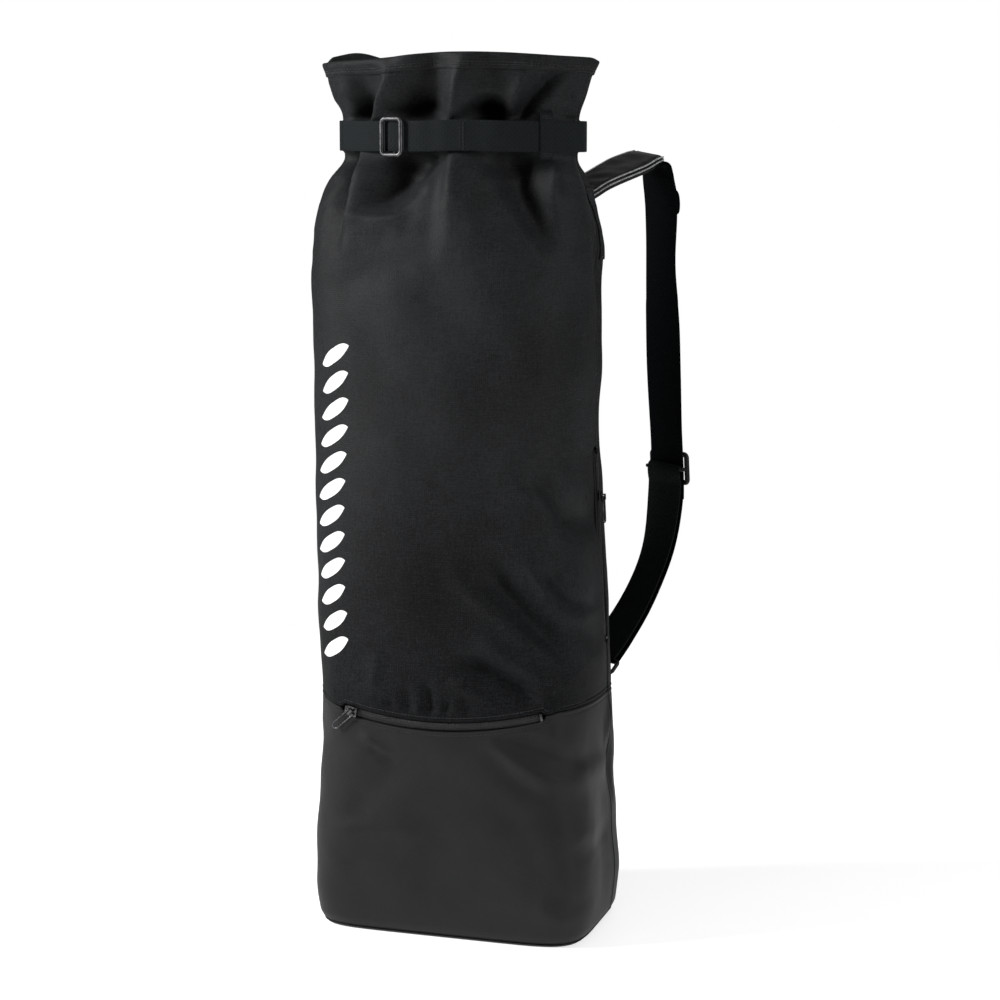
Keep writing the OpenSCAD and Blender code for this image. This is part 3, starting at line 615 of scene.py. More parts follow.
def crease(across_way, z, rows):
    """Slanted ridges and valleys that fade out at both ends."""
    total = 0
    for (x0, z0), (x1, z1), bow, height, left, right in rows:
        long = math.hypot(x1 - x0, z1 - z0)
        dx, dz = (x1 - x0) / long, (z1 - z0) / long
        share = ((across_way - x0) * dx + (z - z0) * dz) / long
        off = (z - z0) * dx - (across_way - x0) * dz - bow * (1 - (2 * share - 1) ** 2)
        ends = smooth(-0.1, 0.3, share) * (1 - smooth(0.7, 1.1, share))
        total = total + height * ends * np.exp(-(np.abs(off) / np.where(off > 0, left, right)) ** 1.8)
    return total


# Strength of the neck's folds, and of the creases above the waist seam.
FOLD_DEPTH = 1.5
BODY_CREASE_DEPTH = 1.3
BELT_Z = 669.0
BUCKLE_X = -47.1


def drape(p, turn):
    """How far the cloth stands out of the plain skin at points p."""
    x, y, z = p[..., 0], p[..., 1], p[..., 2]
    front = smooth(-2, -14, turn) * smooth(-178, -166, turn)
    back = smooth(2, 14, turn) * smooth(178, 166, turn)
    side = smooth(40, 90, np.abs(x)) * (1 - front) * (1 - back)
    fold_front = FOLD_DEPTH * sum(fold(x, z, rows, power) for rows, power in FRONT_FOLDS)
    fold_back = sum(fold(x, z, rows, power) for rows, power in BACK_FOLDS)
    over_seam = z - seam_z(x)
    strength = np.where(over_seam > 0, BODY_CREASE_DEPTH, 1.0) * smooth(5, 16, np.abs(over_seam))
    total = front * (fold_front + strength * crease(x, z, FRONT_CREASES))
    total = total + back * (fold_back + crease(x, z, BACK_CREASES)) + side * crease(y, z, SIDE_CREASES)
    # The right side tucks in behind its front corner, above and below the belt; the left one less.
    tuck = bell(z - 646, 34) * (z < BELT_Z) + bell(z - 690, 24) * (z >= BELT_Z)
    for seam, depth in ((1, 9.0), (-180, 3.0), (180, 3.0)):
        total = total - depth * tuck * bell(turn - seam, 6)
    # The belt holds the cloth level, and the buckle's bar presses it in.
    held = smooth(655, 659, z) * (1 - smooth(679, 683, z))
    total = total * (1 - 0.75 * held) + held * (2.6 - 4.4 * front * bell(x - BUCKLE_X, 30))
    # Soft unevenness all over, less at the waist seam, and crinkles that grow towards the neck.
    tied = smooth(0, 40, z) * (1 - 0.75 * bell(z - seam_z(x) * front - SEAM_Z * (1 - front), 20))
    soft = 1.5 * waves(p, 150, 3) + 0.7 * waves(p, 60, 4)
    crinkle = 0.55 * waves(p, 24, 5) - 0.5 * np.abs(waves(p, 34, 6))
    return total + tied * (soft + (0.15 + 0.85 * smooth(520, 640, z)) * crinkle)


def rim_lift(x, turn, z):
    """Rise of the soft rim: highest in the middle of the front and at the back's left end."""
    rise = np.where(turn < 0, 7.0 * bell(x - 20, 80), 9.0 * bell(x + 104, 24) + 3.0 * bell(x - 10, 60))
    return rise * smooth(690, BAG_H, z) * smooth(0, 12, np.abs(turn)) * (1 - smooth(168, 180, np.abs(turn)))


def cloth(z, turn, out=0.0):
    """Points of the draped cloth, `out` mm outside its outer face."""
    z, turn = np.broadcast_arrays(np.asarray(z, float), np.asarray(turn, float))
    p = skin(z, turn)
    n = skin_normal(z, turn)
    n[..., 2] *= 0.35
    n = unit(n)
    p = p + n * (drape(p, turn) + out)[..., None]
    p[..., 2] += rim_lift(p[..., 0], turn, z)
    return p


# ---------------------------------------------------------------- mesh helpers
def new_piece(name, points, faces, material, body, uv=None, replaces=(), slot=None, flat=False):
    """A mesh object from points in millimetres; uv is one pair per point, in metres."""
    mesh = bpy.data.meshes.new(name)
    mesh.from_pydata(np.asarray(points, float) * MM, [], np.asarray(faces))
    if uv is not None:
        layer = mesh.uv_layers.new(name="metres")
        index = np.empty(len(mesh.loops), int)
        mesh.loops.foreach_get("vertex_index", index)
        layer.data.foreach_set("uv", np.asarray(uv, np.float32)[index].ravel())
    mesh.polygons.foreach_set("use_smooth", [not flat] * len(mesh.polygons))
    mesh.materials.append(material)
    mesh.update()
    obj = bpy.data.objects.new(name, mesh)
    bpy.context.scene.collection.objects.link(obj)
    if replaces:
        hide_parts(*replaces)
    if body:
        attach(obj, body)
    return obj


def grid_faces(rows, cols, wrap_cols=False, wrap_rows=False, start=0):
    """Quads between the points of a grid, the first of which is point number start."""
    i = np.arange(rows if wrap_rows else rows - 1)[:, None]
    j = np.arange(cols if wrap_cols else cols - 1)[None, :]
    i2, j2 = (i + 1) % rows, (j + 1) % cols
    quads = np.stack([i * cols + j, i * cols + j2, i2 * cols + j2, i2 * cols + j], axis=-1)
    return quads.reshape(-1, 4) + start


def shell(outer, inner):
    """Closed sheet between two grids of points: points and quads."""
    rows, cols = outer.shape[:2]
    n = rows * cols
    points = np.concatenate([outer.reshape(-1, 3), inner.reshape(-1, 3)])

    def rim(low, high):
        return np.stack([high, low, low + n, high + n], -1)

    index = np.arange(n).reshape(rows, cols)
    rims = [
        rim(index[0, :-1], index[0, 1:]),
        rim(index[-1, 1:], index[-1, :-1]),
        rim(index[1:, 0], index[:-1, 0]),
        rim(index[:-1, -1], index[1:, -1]),
    ]
    return points, np.concatenate([grid_faces(rows, cols), grid_faces(rows, cols, start=n)[:, ::-1], *rims])


def metres(*coordinates):
    """UV pairs in metres, one per point, from coordinates in millimetres."""
    return np.stack(np.broadcast_arrays(*coordinates), -1).reshape(-1, 2) * MM


def shell_piece(name, outer, inner, uv, material, body="bag", **more):
    points, faces = shell(outer, inner)
    return new_piece(name, points, faces, material, body, np.concatenate([uv, uv]), **more)


def thread_piece(name, parts, body="bag", slot="woven_cloth"):
    points, faces, uv = join(parts)
    return new_piece(name, points, faces, THREAD, body, uv, slot=slot)


def steps(length, fine, coarse, edge):
    """Shares 0..1 along a length, fine near both ends and coarse in the middle."""
    near = np.arange(0, edge, fine)
    far = np.linspace(edge, length - edge, max(2, int((length - 2 * edge) / coarse)))
    return np.concatenate([near, far, length - near[::-1]]) / length


def arc_length(points, axis):
    """Distance run along a line of points, or along every line of a grid."""
    gaps = np.linalg.norm(np.diff(points, axis=axis), axis=-1)
    total = np.cumsum(gaps, axis=axis)
    zero = np.zeros_like(np.take(total, [0], axis=axis))
    return np.concatenate([zero, total], axis=axis)


def resample(path, spacing):
    """Smooth Catmull-Rom curve through a path of points, evenly spaced."""
    path = np.asarray(path, float)
    ends = np.concatenate([[2 * path[0] - path[1]], path, [2 * path[-1] - path[-2]]])
    fine = []
    t = np.linspace(0, 1, 24, endpoint=False)[:, None]
    for a, b, c, d in zip(ends[:-3], ends[1:-2], ends[2:-1], ends[3:]):
        square, cube = 2 * a - 5 * b + 4 * c - d, 3 * b - a - 3 * c + d
        fine.append(0.5 * (2 * b + (c - a) * t + square * t**2 + cube * t**3))
    fine = np.concatenate([*fine, path[-1:]])
    along = arc_length(fine, 0)
    at = np.linspace(0, along[-1], max(3, int(along[-1] / spacing) + 1))
    return np.stack([np.interp(at, along, fine[:, k]) for k in range(path.shape[1])], -1)


def section(width, thick, cols=12):
    """Outline of a flat band with rounded edges: (across, up) pairs, clockwise."""
    r = thick / 2
    flat = np.linspace(-width / 2 + r, width / 2 - r, cols)
    turn = np.radians([60, 30, 0, -30, -60])
    right = np.stack([width / 2 - r + r * np.cos(turn), r * np.sin(turn)], -1)
    top = np.stack([flat, np.full(cols, r)], -1)
    return np.concatenate([top, right, -top, -right])


def sweep(centre, across, up, outline, loop=False):
    """Sweeps an outline along a centre line: points (rows x n), faces and uv."""
    points = centre[:, None] + across[:, None] * outline[None, :, :1] + up[:, None] * outline[None, :, 1:]
    rows, n = points.shape[:2]
    faces = grid_faces(rows, n, wrap_cols=True, wrap_rows=loop)[:, ::-1]
    along = arc_length(centre, 0)
    return points, faces, metres(outline[None, :, 0], along[:, None])


def caps(rows, n):
    """Quads that close both ends of a swept band, across the outline's pairs."""
    quads = []
    for base, flip in ((0, False), ((rows - 1) * n, True)):
        for k in range(n // 2 - 1):
            q = [base + k, base + k + 1, base + n - 2 - k, base + n - 1 - k]
            quads.append(q[::-1] if flip else q)
    return np.array(quads)


def band_piece(name, centre, across, up, size, material, body, loop=False, cols=12, **more):
    """A band of webbing; size is its width and thickness."""
    outline = section(*size, cols)
    points, faces, uv = sweep(centre, across, up, outline, loop)
    if not loop:
        faces = np.concatenate([faces, caps(len(points), len(outline))])
    return new_piece(name, points.reshape(-1, 3), faces, material, body, uv, **more)


def tube(centre, radius, sides=8):
    """Round tube along a centre line: one mesh part."""
    tangent = unit(np.gradient(centre, axis=0))
    side = np.cross(tangent, np.where(np.abs(tangent[:, 2:]) > 0.9, [[1.0, 0, 0]], [[0, 0, 1.0]]))
    side = unit(side)
    up = np.cross(side, tangent)
    a = np.arange(sides) * TAU / sides
    outline = np.stack([np.cos(a), np.sin(a)], -1) * radius
    points, faces, uv = sweep(centre, side, up, outline)
    return points.reshape(-1, 3), np.concatenate([faces, caps(len(points), sides)]), uv


def join(parts):
    """Joins (points, faces, uv) parts into one."""
    points, faces, uvs, n = [], [], [], 0
    for p, f, uv in parts:
        points.append(p)
        faces.append(np.asarray(f) + n)
        uvs.append(uv)
        n += len(p)
    return np.concatenate(points), np.concatenate(faces), np.concatenate(uvs)


def beads(centre, side, up, fat, sides=6):
    """Short round rods, one per row of centre points, with radii fat: points and faces."""
    a = np.arange(sides) * TAU / sides
    ring = side[:, :, None] * np.cos(a)[:, None] + up[:, :, None] * np.sin(a)[:, None]
    points = centre[:, :, None] + ring * fat[None, :, None, None]
    one = np.concatenate([grid_faces(len(fat), sides, wrap_cols=True)[:, ::-1], caps(len(fat), sides)])
    first = np.arange(len(centre)) * len(fat) * sides
    return points.reshape(-1, 3), (one[None] + first[:, None, None]).reshape(-1, 4)


def stitch_line(path, normal, pitch=3.0, radius=0.24, sink=0.1):
    """A row of short thread stitches that dip into the cloth at both ends: one mesh part."""
    along = arc_length(path, 0)
    count = max(1, int(along[-1] / pitch))
    starts = (np.arange(count) + 0.5) * along[-1] / count
    t = np.array([-0.5, -0.42, -0.2, 0.2, 0.42, 0.5])
    lift = np.array([-0.35, 0.05, 0.28, 0.28, 0.05, -0.35]) - sink
    fat = radius * np.array([0.5, 0.9, 1, 1, 0.9, 0.5])
    at = starts[:, None] + t[None, :] * along[-1] / count * 0.9
    centre, n = (np.stack([np.interp(at, along, v[:, k]) for k in range(3)], -1) for v in (path, normal))
    n = unit(n)
    centre = centre + n * lift[None, :, None]
    tangent = unit(np.gradient(centre, axis=1))
    side = unit(np.cross(tangent, n))
    points, faces = beads(centre, side, np.cross(side, tangent), fat)
    uv = np.stack([np.tile(np.arange(6) * 0.0001, count * len(t)), points[:, 2] * MM], -1)
    return points, faces, uv


def cloth_stitches(z, turn, out, radius=0.24):
    """A stitch row on the draped cloth along a line given by heights and turns."""
    z, turn = np.broadcast_arrays(np.asarray(z, float), np.asarray(turn, float))
    return stitch_line(cloth(z, turn, out), skin_normal(z, turn), 3.0, radius)


# ---------------------------------------------------------------- panels of the bag
def turn_at(z, x):
    """Turn at which the front of the plain skin has sideways place x."""
    turns = np.linspace(-179.9, -0.1, 1200)
    return np.array([
        np.interp(x_one, skin(np.full(len(turns), z_one), turns)[:, 0], turns) for z_one, x_one in zip(z, x)
    ])


def slot_at(v, ends, past=0.5, fade=4.0):
    """Half gap between two panels: SLOT along a zip, narrowing to GAP past its ends."""
    low, high = ends
    opened = smooth(low - past - fade, low - past, v) * (1 - smooth(high + past, high + past + fade, v))
    return GAP + (SLOT - GAP) * opened


def degrees_of(gap, z, front):
    """Turn that a gap beside a side seam takes up."""
    return np.degrees(np.arctan(gap / half_depth(z, front)))


def panel_turns(z, share, front):
    """Turns from one side seam to the other; a panel stops short of both."""
    right, left = degrees_of(slot_at(z, SIDE_ZIP), z, front), degrees_of(GAP, z, front)
    round_it = share * (180 - right - left)
    return -180 + left + round_it if front else right + round_it


def grooves(distance, rows):
    """Sum of small ridges and grooves beside an edge, from rows of place, height and width."""
    return sum(height * bell(distance - place, width) for place, height, width in rows)


PANEL_W, UPPER_H, LOWER_H = 300.0, 529.0, 195.0
# rows for grooves(): the edge at the waist seam, the side seams, and the base's foot
UPPER_EDGE = [(0, -0.5, 0.8), (3.4, -0.45, 0.9), (1.9, 0.35, 1.1)]
UPPER_SIDES = [(0, -0.9, 1.3), (4, -0.3, 1)]
BASE_EDGE = [(0, -0.5, 0.8), (3.2, -0.4, 0.8), (1.7, 0.35, 1.0)]
BASE_SIDES = [(0, -0.9, 1.3), (2.6, 0.3, 1.4)]
BASE_FOOT = [(0, -0.8, 1.5)]
BASE_LOW = 2.4


def panel_grid(front, upper, out):
    """Grid of draped points and their heights; rows go up, columns go round."""
    cols = steps(PANEL_W, 1.0, 1.9, 7)
    x_mid = skin(ZIP_Z, np.clip(-180 + 180 * cols, -179.9, -0.1))[:, 0]
    line = seam_z(x_mid) if front else np.full(len(cols), SEAM_Z)
    half = slot_at(x_mid, ZIP_ENDS) if front else GAP
    if upper:
        rows = steps(UPPER_H, 1.0, 2.3, 14)
        low, high = line + half, np.full(len(cols), BAG_H)
    else:
        rows = steps(LOWER_H, 1.0, 2.4, 8)
        low, high = np.full(len(cols), BASE_LOW + GAP), line - half
    z = low + rows[:, None] * (high - low)
    s = cols * PANEL_W
    if upper:
        relief = grooves(z - low, UPPER_EDGE) + grooves(s, UPPER_SIDES) + grooves(PANEL_W - s, UPPER_SIDES)
    else:
        relief = grooves(high - z, BASE_EDGE) + grooves(s, BASE_SIDES) + grooves(PANEL_W - s, BASE_SIDES)
        relief = relief + grooves(z - low, BASE_FOOT)
    return cloth(z, panel_turns(z, cols[None, :], front), relief + out), z


def make_panels():
    for name, front, upper, thick, material, slot in (
        ("front_panel", True, True, CLOTH_T, CLOTH, "woven_cloth"),
        ("back_panel", False, True, CLOTH_T, CLOTH, "woven_cloth"),
        ("base_front", True, False, BASE_T, COATED, "coated_cloth"),
        ("base_back", False, False, BASE_T, COATED, "coated_cloth"),
    ):
        outer, z = panel_grid(front, upper, 0.0)
        inner = panel_grid(front, upper, -thick)[0]
        uv = metres(arc_length(outer[len(outer) // 2], 0), z)
        shell_piece(name + "_cloth", outer, inner, uv, material, replaces=(name,), slot=slot)


# Section of the hem as (height, way out): up the outside, over the rim and down the inside.
HEM = [
    (717.6, 0.25), (717.8, 1.0), (718.6, 1.35), (719.6, 1.3), (720.4, 1.05), (721.2, 1.3), (722.2, 1.1),
    (723.2, 1.35), (725.5, 1.5), (727.6, 1.45), (728.7, 1.0), (729.4, 0.1), (729.5, -0.8), (728.8, -1.9),
    (727, -2.3), (722, -2.2), (718.5, -2.0), (718.0, -1.4),
]
# Rows of HEM that carry a line of stitches.
HEM_SEWN = (4, 6)


def make_hem():
    """Band of double cloth folded over the rim."""
    turns = np.linspace(-180, 180, 361)[:-1]
    turns = np.where(np.abs(turns) < 1e-6, 1e-3, turns)
    z, out, turn = np.broadcast_arrays(*(np.array(HEM).T[..., None]), turns[None])
    p = cloth(np.minimum(z, BAG_H), turn, out)
    p[..., 2] = z + rim_lift(p[..., 0], turn, z) + 0.6 * waves(p * [1, 1, 0], 90, 11)
    faces = grid_faces(len(HEM), len(turns), wrap_cols=True, wrap_rows=True)
    uv = metres(arc_length(p[5], 0)[None], arc_length(np.array(HEM), 0)[:, None])
    new_piece("mouth_hem_cloth", p.reshape(-1, 3), faces, CLOTH, "bag", uv, replaces=("mouth_hem",),
              slot="woven_cloth")
    normal = skin_normal(np.full(len(turns), 721.0), turns)
    normal = np.concatenate([normal, normal[:1]])
    rows = [stitch_line(np.concatenate([p[row], p[row, :1]]), normal, 3.2, 0.26) for row in HEM_SEWN]
    thread_piece("mouth_hem_stitches", rows)


def make_bottom():
    """Bottom panel with a welt round its edge."""
    turns = np.linspace(-180, 180, 241)[:-1]
    centre = np.array([0, 3.0, 0])
    # (share of the way out, way past the edge, height): under the panel to its middle, back over it
    rings = [
        (1.0, 0.9, 2.4), (1.0, 0.3, 2.0), (0.99, 0.0, 0.6), (0.96, 0, 0.02), (0.8, 0, 0.0), (0.4, 0, 0.0),
        (0.02, 0, 0.0), (0.02, 0, 2.4), (0.4, 0, 2.4), (0.9, 0, 2.4),
    ]
    layers = []
    for share, out, z in rings:
        edge = cloth(np.full(len(turns), 3.0), turns, out - 0.8)
        p = centre + (edge - centre) * share
        p[:, 2] = z
        layers.append(p)
    points = np.stack(layers)
    faces = grid_faces(len(layers), len(turns), wrap_cols=True, wrap_rows=True)[:, ::-1]
    new_piece("bottom_panel_cloth", points.reshape(-1, 3), faces, COATED, "bag",
              points[..., :2].reshape(-1, 2) * MM, replaces=("bottom_panel",), slot="coated_cloth")


def make_seam_stitches():
    """Rows above and below the waist seam, round the back too, and beside the right side seam."""
    parts = []
    x = np.linspace(-118, 112, 260)
    for side, away in ((1, 3.4), (-1, 3.2)):
        z = seam_z(x) + side * (slot_at(x, ZIP_ENDS) + away)
        parts.append(cloth_stitches(z, turn_at(z, x), -0.35))
    for away in (3.6, -3.4):
        parts.append(cloth_stitches(SEAM_Z + away, np.linspace(4, 176, 240), -0.35))
    z = np.linspace(208, 716, 400)
    for front, sign in ((True, -1), (False, 1)):
        turn = sign * degrees_of(slot_at(z, SIDE_ZIP) + 3.6, z, front)
        parts.append(cloth_stitches(z, turn, -0.3, 0.22))
    thread_piece("seam_stitches", parts)


# ---------------------------------------------------------------- zips
def capsules(a, b, side_hint, radius):
    """Rods with thin ends from points a to points b: one mesh part."""
    t = np.array([0, 0.08, 0.5, 0.92, 1.0])
    fat = radius * np.array([0.5, 1, 1, 1, 0.5])
    axis = unit(b - a)
    side = unit(np.cross(axis, side_hint))
    centre = a[:, None] + (b - a)[:, None] * t[:, None]
    points, faces = beads(centre, side[:, None], np.cross(side, axis)[:, None], fat)
    return points, faces, points[:, :2] * MM


def front_zip_frame(x):
    """Point, way along, way up and way out on the front zip's arc at sideways places x."""
    a = np.arcsin((x - ZIP_X) / ZIP_R)
    c, s = math.cos(ZIP_TILT), math.sin(ZIP_TILT)
    point = np.stack([x, ZIP_Y + zip_sag(x) * c, ZIP_Z + zip_sag(x) * s], -1)
    along = np.stack([np.cos(a), np.sin(a) * c, np.sin(a) * s], -1)
    radial = np.stack([np.sin(a), -np.cos(a) * c, -np.cos(a) * s], -1)
    axis = np.broadcast_to([0, -s, c], point.shape)
    return point, along, -s * radial + c * axis, c * radial + s * axis


SIDE_LOW, SIDE_HIGH = skin(SIDE_ZIP[0], -0.01), skin(SIDE_ZIP[1], -0.01)
SIDE_LEN = float(np.linalg.norm(SIDE_HIGH - SIDE_LOW))


def side_zip_frame(s):
    """The same four for the side zip, at distances s up from its lower end."""
    forward = np.array([0, -1.0, 0])
    along = unit(SIDE_HIGH - SIDE_LOW)
    up = unit(forward - along * np.dot(forward, along))
    point = SIDE_LOW + s[:, None] * along
    return point, *(np.broadcast_to(v, point.shape) for v in (along, up, np.cross(along, up)))


COIL_PITCH = 1.3
TAPE_DEEP, COIL_DEEP = 2.15, 1.0
TAPE_T = 0.5


def make_zip(place, ends, tape_w, halves):
    """Tapes and coils of one zip; halves are the tape and coil nodes on the +up and -up sides."""
    low, high = ends
    for sign, (tape, coil) in zip((1, -1), halves):
        point, along, up, out = place(np.linspace(low, high, max(30, int((high - low) / 2))))
        centre = point + up * sign * (1.0 + tape_w) / 2 - out * TAPE_DEEP
        band_piece(tape + "_weave", centre, up, out, (tape_w - 1.0, TAPE_T), TAPE, "bag", cols=8,
                   replaces=(tape,), slot="zip_tape")
        # a tooth is the head of one turn of the coil, and the way on to the next turn
        count = int((high - low - 4) / COIL_PITCH)
        teeth = low + 2.4 + (np.arange(count) + (0.0 if sign > 0 else 0.5)) * COIL_PITCH
        point, along, up, out = place(teeth)
        bed = point - out * COIL_DEEP
        head = bed + up * (-0.45 * sign) + out * 0.25
        heel = bed + up * (2.7 * sign) - out * 0.35
        back = bed + up * (2.7 * sign) + along * COIL_PITCH * 0.5 - out * 0.5
        parts = [capsules(head, heel, out, 0.42), capsules(heel, back, out, 0.36)]
        # the row of thread that sews the coil to its tape
        point, along, up, out = place(np.linspace(low + 2, high - 2, 200))
        parts.append(stitch_line(point + up * (sign * 1.35) - out * 0.55, out, 2.2, 0.16))
        points, faces, uv = join(parts)
        new_piece(coil + "_teeth", points, faces, COIL, "bag", uv, replaces=(coil,), slot="zip_coil")


def make_zips():
    make_zip(front_zip_frame, ZIP_ENDS, 11.5,
             (("front_tape_upper", "front_coil_upper"), ("front_tape_lower", "front_coil_lower")))
    make_zip(side_zip_frame, (0.0, SIDE_LEN), 8.0,
             (("side_tape_front", "side_coil_front"), ("side_tape_back", "side_coil_back")))
    for node in ("front_stop_left", "front_stop_right", "side_stop_top", "side_stop_bottom",
                 "front_slider", "front_pull", "side_slider", "side_pull"):
        finish_node(node, DARK_METAL, 0.25)


def finish_node(node, material, bevel=0.0):
    """Gives a CAD part its material and, if asked, a small bevel."""
    obj = frame["nodes"][node]
    obj.data.materials.clear()
    obj.data.materials.append(material)
    if bevel:
        mod = obj.modifiers.new("edge", "BEVEL")
        mod.width = bevel * MM
        mod.segments = 2
        mod.limit_method = "ANGLE"
        mod.angle_limit = math.radians(40)


LINING_T = 0.5


def make_linings():
    """Pocket linings that hang inside the panels and belly inwards."""
    for name, turns, heights in (
        ("front_pocket_lining", (-138, -42), (60, 212)),
        ("side_pocket_lining", (-36, 24), (232, 420)),
    ):
        z, turn = np.broadcast_arrays(np.linspace(*heights, 70)[:, None], np.linspace(*turns, 60)[None, :])
        rows, cols = z.shape
        belly = np.sin(np.linspace(0, math.pi, rows))[:, None] * np.sin(np.linspace(0, math.pi, cols))
        base, n = skin(z, turn), skin_normal(z, turn)
        sag = np.minimum(drape(base, turn), 0) - 5.4 - 2.6 * belly - 0.5 * waves(base, 40, 21)
        outer = base + n * sag[..., None]
        inner = base + n * (sag - LINING_T)[..., None]
        obj = shell_piece(name + "_cloth", outer, inner, metres(arc_length(outer, 1), z), LINING,
                          replaces=(name,), slot="lining")


# ---------------------------------------------------------------- neck belt
# The belt's outline from above is a front arc of radius BELT_R, a flatter back arc and two round ends.
BELT_W, BELT_T, BELT_R = 25.0, 1.4, 150.0
BELT_X, BELT_FRONT, BELT_BACK, BELT_HALF, END_R = -4.5, -49.5, 43.0, 107.0, 26.0
FRONT_C = BELT_FRONT + BELT_R
KEEPER_TURN, KEEPER_X = 33.5, 79.0
FOLD_TURNS = (-7.5, 9.0)
FOLD_SEWN = (6.3, 7.5)


def belt_oval():
    """Outer line of the belt: four tangent arcs, from the front left round to the right and back."""
    end_x = BELT_HALF - END_R
    end_y = FRONT_C - math.sqrt((BELT_R - END_R) ** 2 - end_x**2)
    back_d = end_y - BELT_BACK
    back_r = (end_x**2 + back_d**2 - END_R**2) / (-2 * (back_d + END_R))
    front_half = math.asin(end_x / (BELT_R - END_R))
    back_half = math.asin(end_x / (back_r - END_R))
    arcs = [
        ((0, FRONT_C), BELT_R, -front_half, front_half, 90),
        ((end_x, end_y), END_R, front_half, math.pi - back_half, 40),
        ((0, BELT_BACK - back_r), back_r, math.pi - back_half, math.pi + back_half, 60),
        ((-end_x, end_y), END_R, math.pi + back_half, TAU - front_half, 40),
    ]
    points, normals = [], []
    for c, r, a0, a1, n in arcs:
        a = np.linspace(a0, a1, n, endpoint=False)
        way = np.stack([np.sin(a), -np.cos(a)], -1)
        points.append(np.array(c) + r * way)
        normals.append(way)
    p, n = np.concatenate(points), np.concatenate(normals)
    zero = np.zeros((len(p), 1))
    return np.concatenate([p + [BELT_X, 0], zero + BELT_Z], 1), np.concatenate([n, zero], 1)


def belt_place(turn, along, up, out):
    """Points at local places on the belt's front arc."""
    a = math.radians(turn)
    normal = np.array([math.sin(a), -math.cos(a), 0])
    tangent = np.array([math.cos(a), math.sin(a), 0])
    origin = np.array([BELT_X, FRONT_C, BELT_Z]) + BELT_R * normal
    along, up, out = np.broadcast_arrays(*(np.asarray(v, float) for v in (along, up, out)))
    raised = up[..., None] * np.array([0, 0, 1.0])
    return origin + along[..., None] * tangent + raised + out[..., None] * normal


def make_belt():
    edge, normal = belt_oval()
    up = np.broadcast_to([0, 0, 1.0], edge.shape)
    angle = np.arctan2(edge[:, 0] - BELT_X, -edge[:, 1])
    on_front = edge[:, 1] < 0
    off = edge[:, 0] - BUCKLE_X
    near_buckle = bell(off, 28) * on_front
    near_keeper = bell(edge[:, 0] - KEEPER_X, 10) * on_front
    ripple = (0.35 * np.sin(angle * 9) + 0.2 * np.sin(angle * 17 + 1)) * (1 - near_buckle) * (1 - near_keeper)
    # over the buckle's bar and under both sides of its ring
    threaded = (0.45 * bell(off, 5) - 0.6 * bell(np.abs(off) - 8.6, 2.2)) * on_front
    centre = edge + normal * (ripple + threaded - BELT_T / 2)[:, None]
    centre[:, 2] += 0.7 * np.sin(angle * 3 + 0.6) * (1 - near_buckle)
    band_piece("neck_belt_webbing", centre, -up, normal, (BELT_W, BELT_T), WEBBING, "bag", loop=True, cols=10,
               replaces=("neck_belt",), slot="webbing")
    # folded end behind the belt
    a = np.radians(np.linspace(*FOLD_TURNS, 30))
    way = np.stack([np.sin(a), -np.cos(a), 0 * a], -1)
    centre = np.array([BELT_X, FRONT_C, BELT_Z]) + (BELT_R - BELT_T - 0.75) * way
    up = np.broadcast_to([0, 0, 1.0], centre.shape)
    band_piece("belt_fold_webbing", centre, -up, way, (BELT_W - 0.4, 1.0), WEBBING, "bag",
               replaces=("belt_fold",), slot="webbing")
    parts = []
    v = np.linspace(-11.4, 11.4, 60)
    for turn in FOLD_SEWN:
        path = belt_place(turn, 0, v, 0.05)
        way = np.broadcast_to(path[0] - [BELT_X, FRONT_C, path[0][2]], path.shape)
        parts.append(stitch_line(path, way, 2.6, 0.25))
    thread_piece("belt_stitches", parts, slot="webbing")


# Half of a keeper strip's section over the belt, from its middle up: (height, way out).
KEEPER_HALF = [(0, 1.0), (11.5, 0.95), (13.0, 0.7), (14.6, 0.1), (16.6, -0.6), (18.6, -1.6), (19.4, -2.4)]
KEEPER_TACKS = (16.4, 15.2, 14.0, -14.0, -15.2, -16.4)


def keeper(name, place, node):
    """Strip over the belt, tacked down above and below it."""
    lower_half = [(-height, out) for height, out in KEEPER_HALF[1:]]
    path = resample(KEEPER_HALF[::-1] + lower_half, 1.0)
    centre = place(0 * path[:, 0], path[:, 0], path[:, 1])
    across = unit(place(np.ones(len(path)), path[:, 0], path[:, 1]) - centre)
    tangent = unit(np.gradient(centre, axis=0))
    normal = np.cross(across, tangent)
    out = place(0.0, 0.0, 1.0) - place(0.0, 0.0, 0.0)
    if (normal @ out).mean() < 0:
        across, normal = -across, -normal
    band_piece(name, centre, across, normal, (11, 0.8), WEBBING, "bag", cols=6, replaces=(node,),
               slot="webbing")
    parts = []
    s = np.arange(-4, 4)
    for level in KEEPER_TACKS:
        n = np.interp(level, path[::-1, 0], path[::-1, 1]) + 0.45
        parts.append(capsules(place(s + 0.1, level + 0.1, n), place(s + 0.9, level - 0.1, n), out, 0.24))
    thread_piece(name + "_bartacks", parts, slot="webbing")


def make_keepers():
    def before(along, up, out):
        return belt_place(KEEPER_TURN, along, up, out)

    def behind(along, up, out):
        along, up, out = np.broadcast_arrays(*(np.asarray(v, float) for v in (along, up, out)))
        return np.stack([BELT_X - along, BELT_BACK + out, BELT_Z + up], -1)

    keeper("belt_keeper_strip", before, "belt_keeper")
    keeper("back_keeper_strip", behind, "back_keeper")
    finish_node("neck_buckle", GREY_METAL)


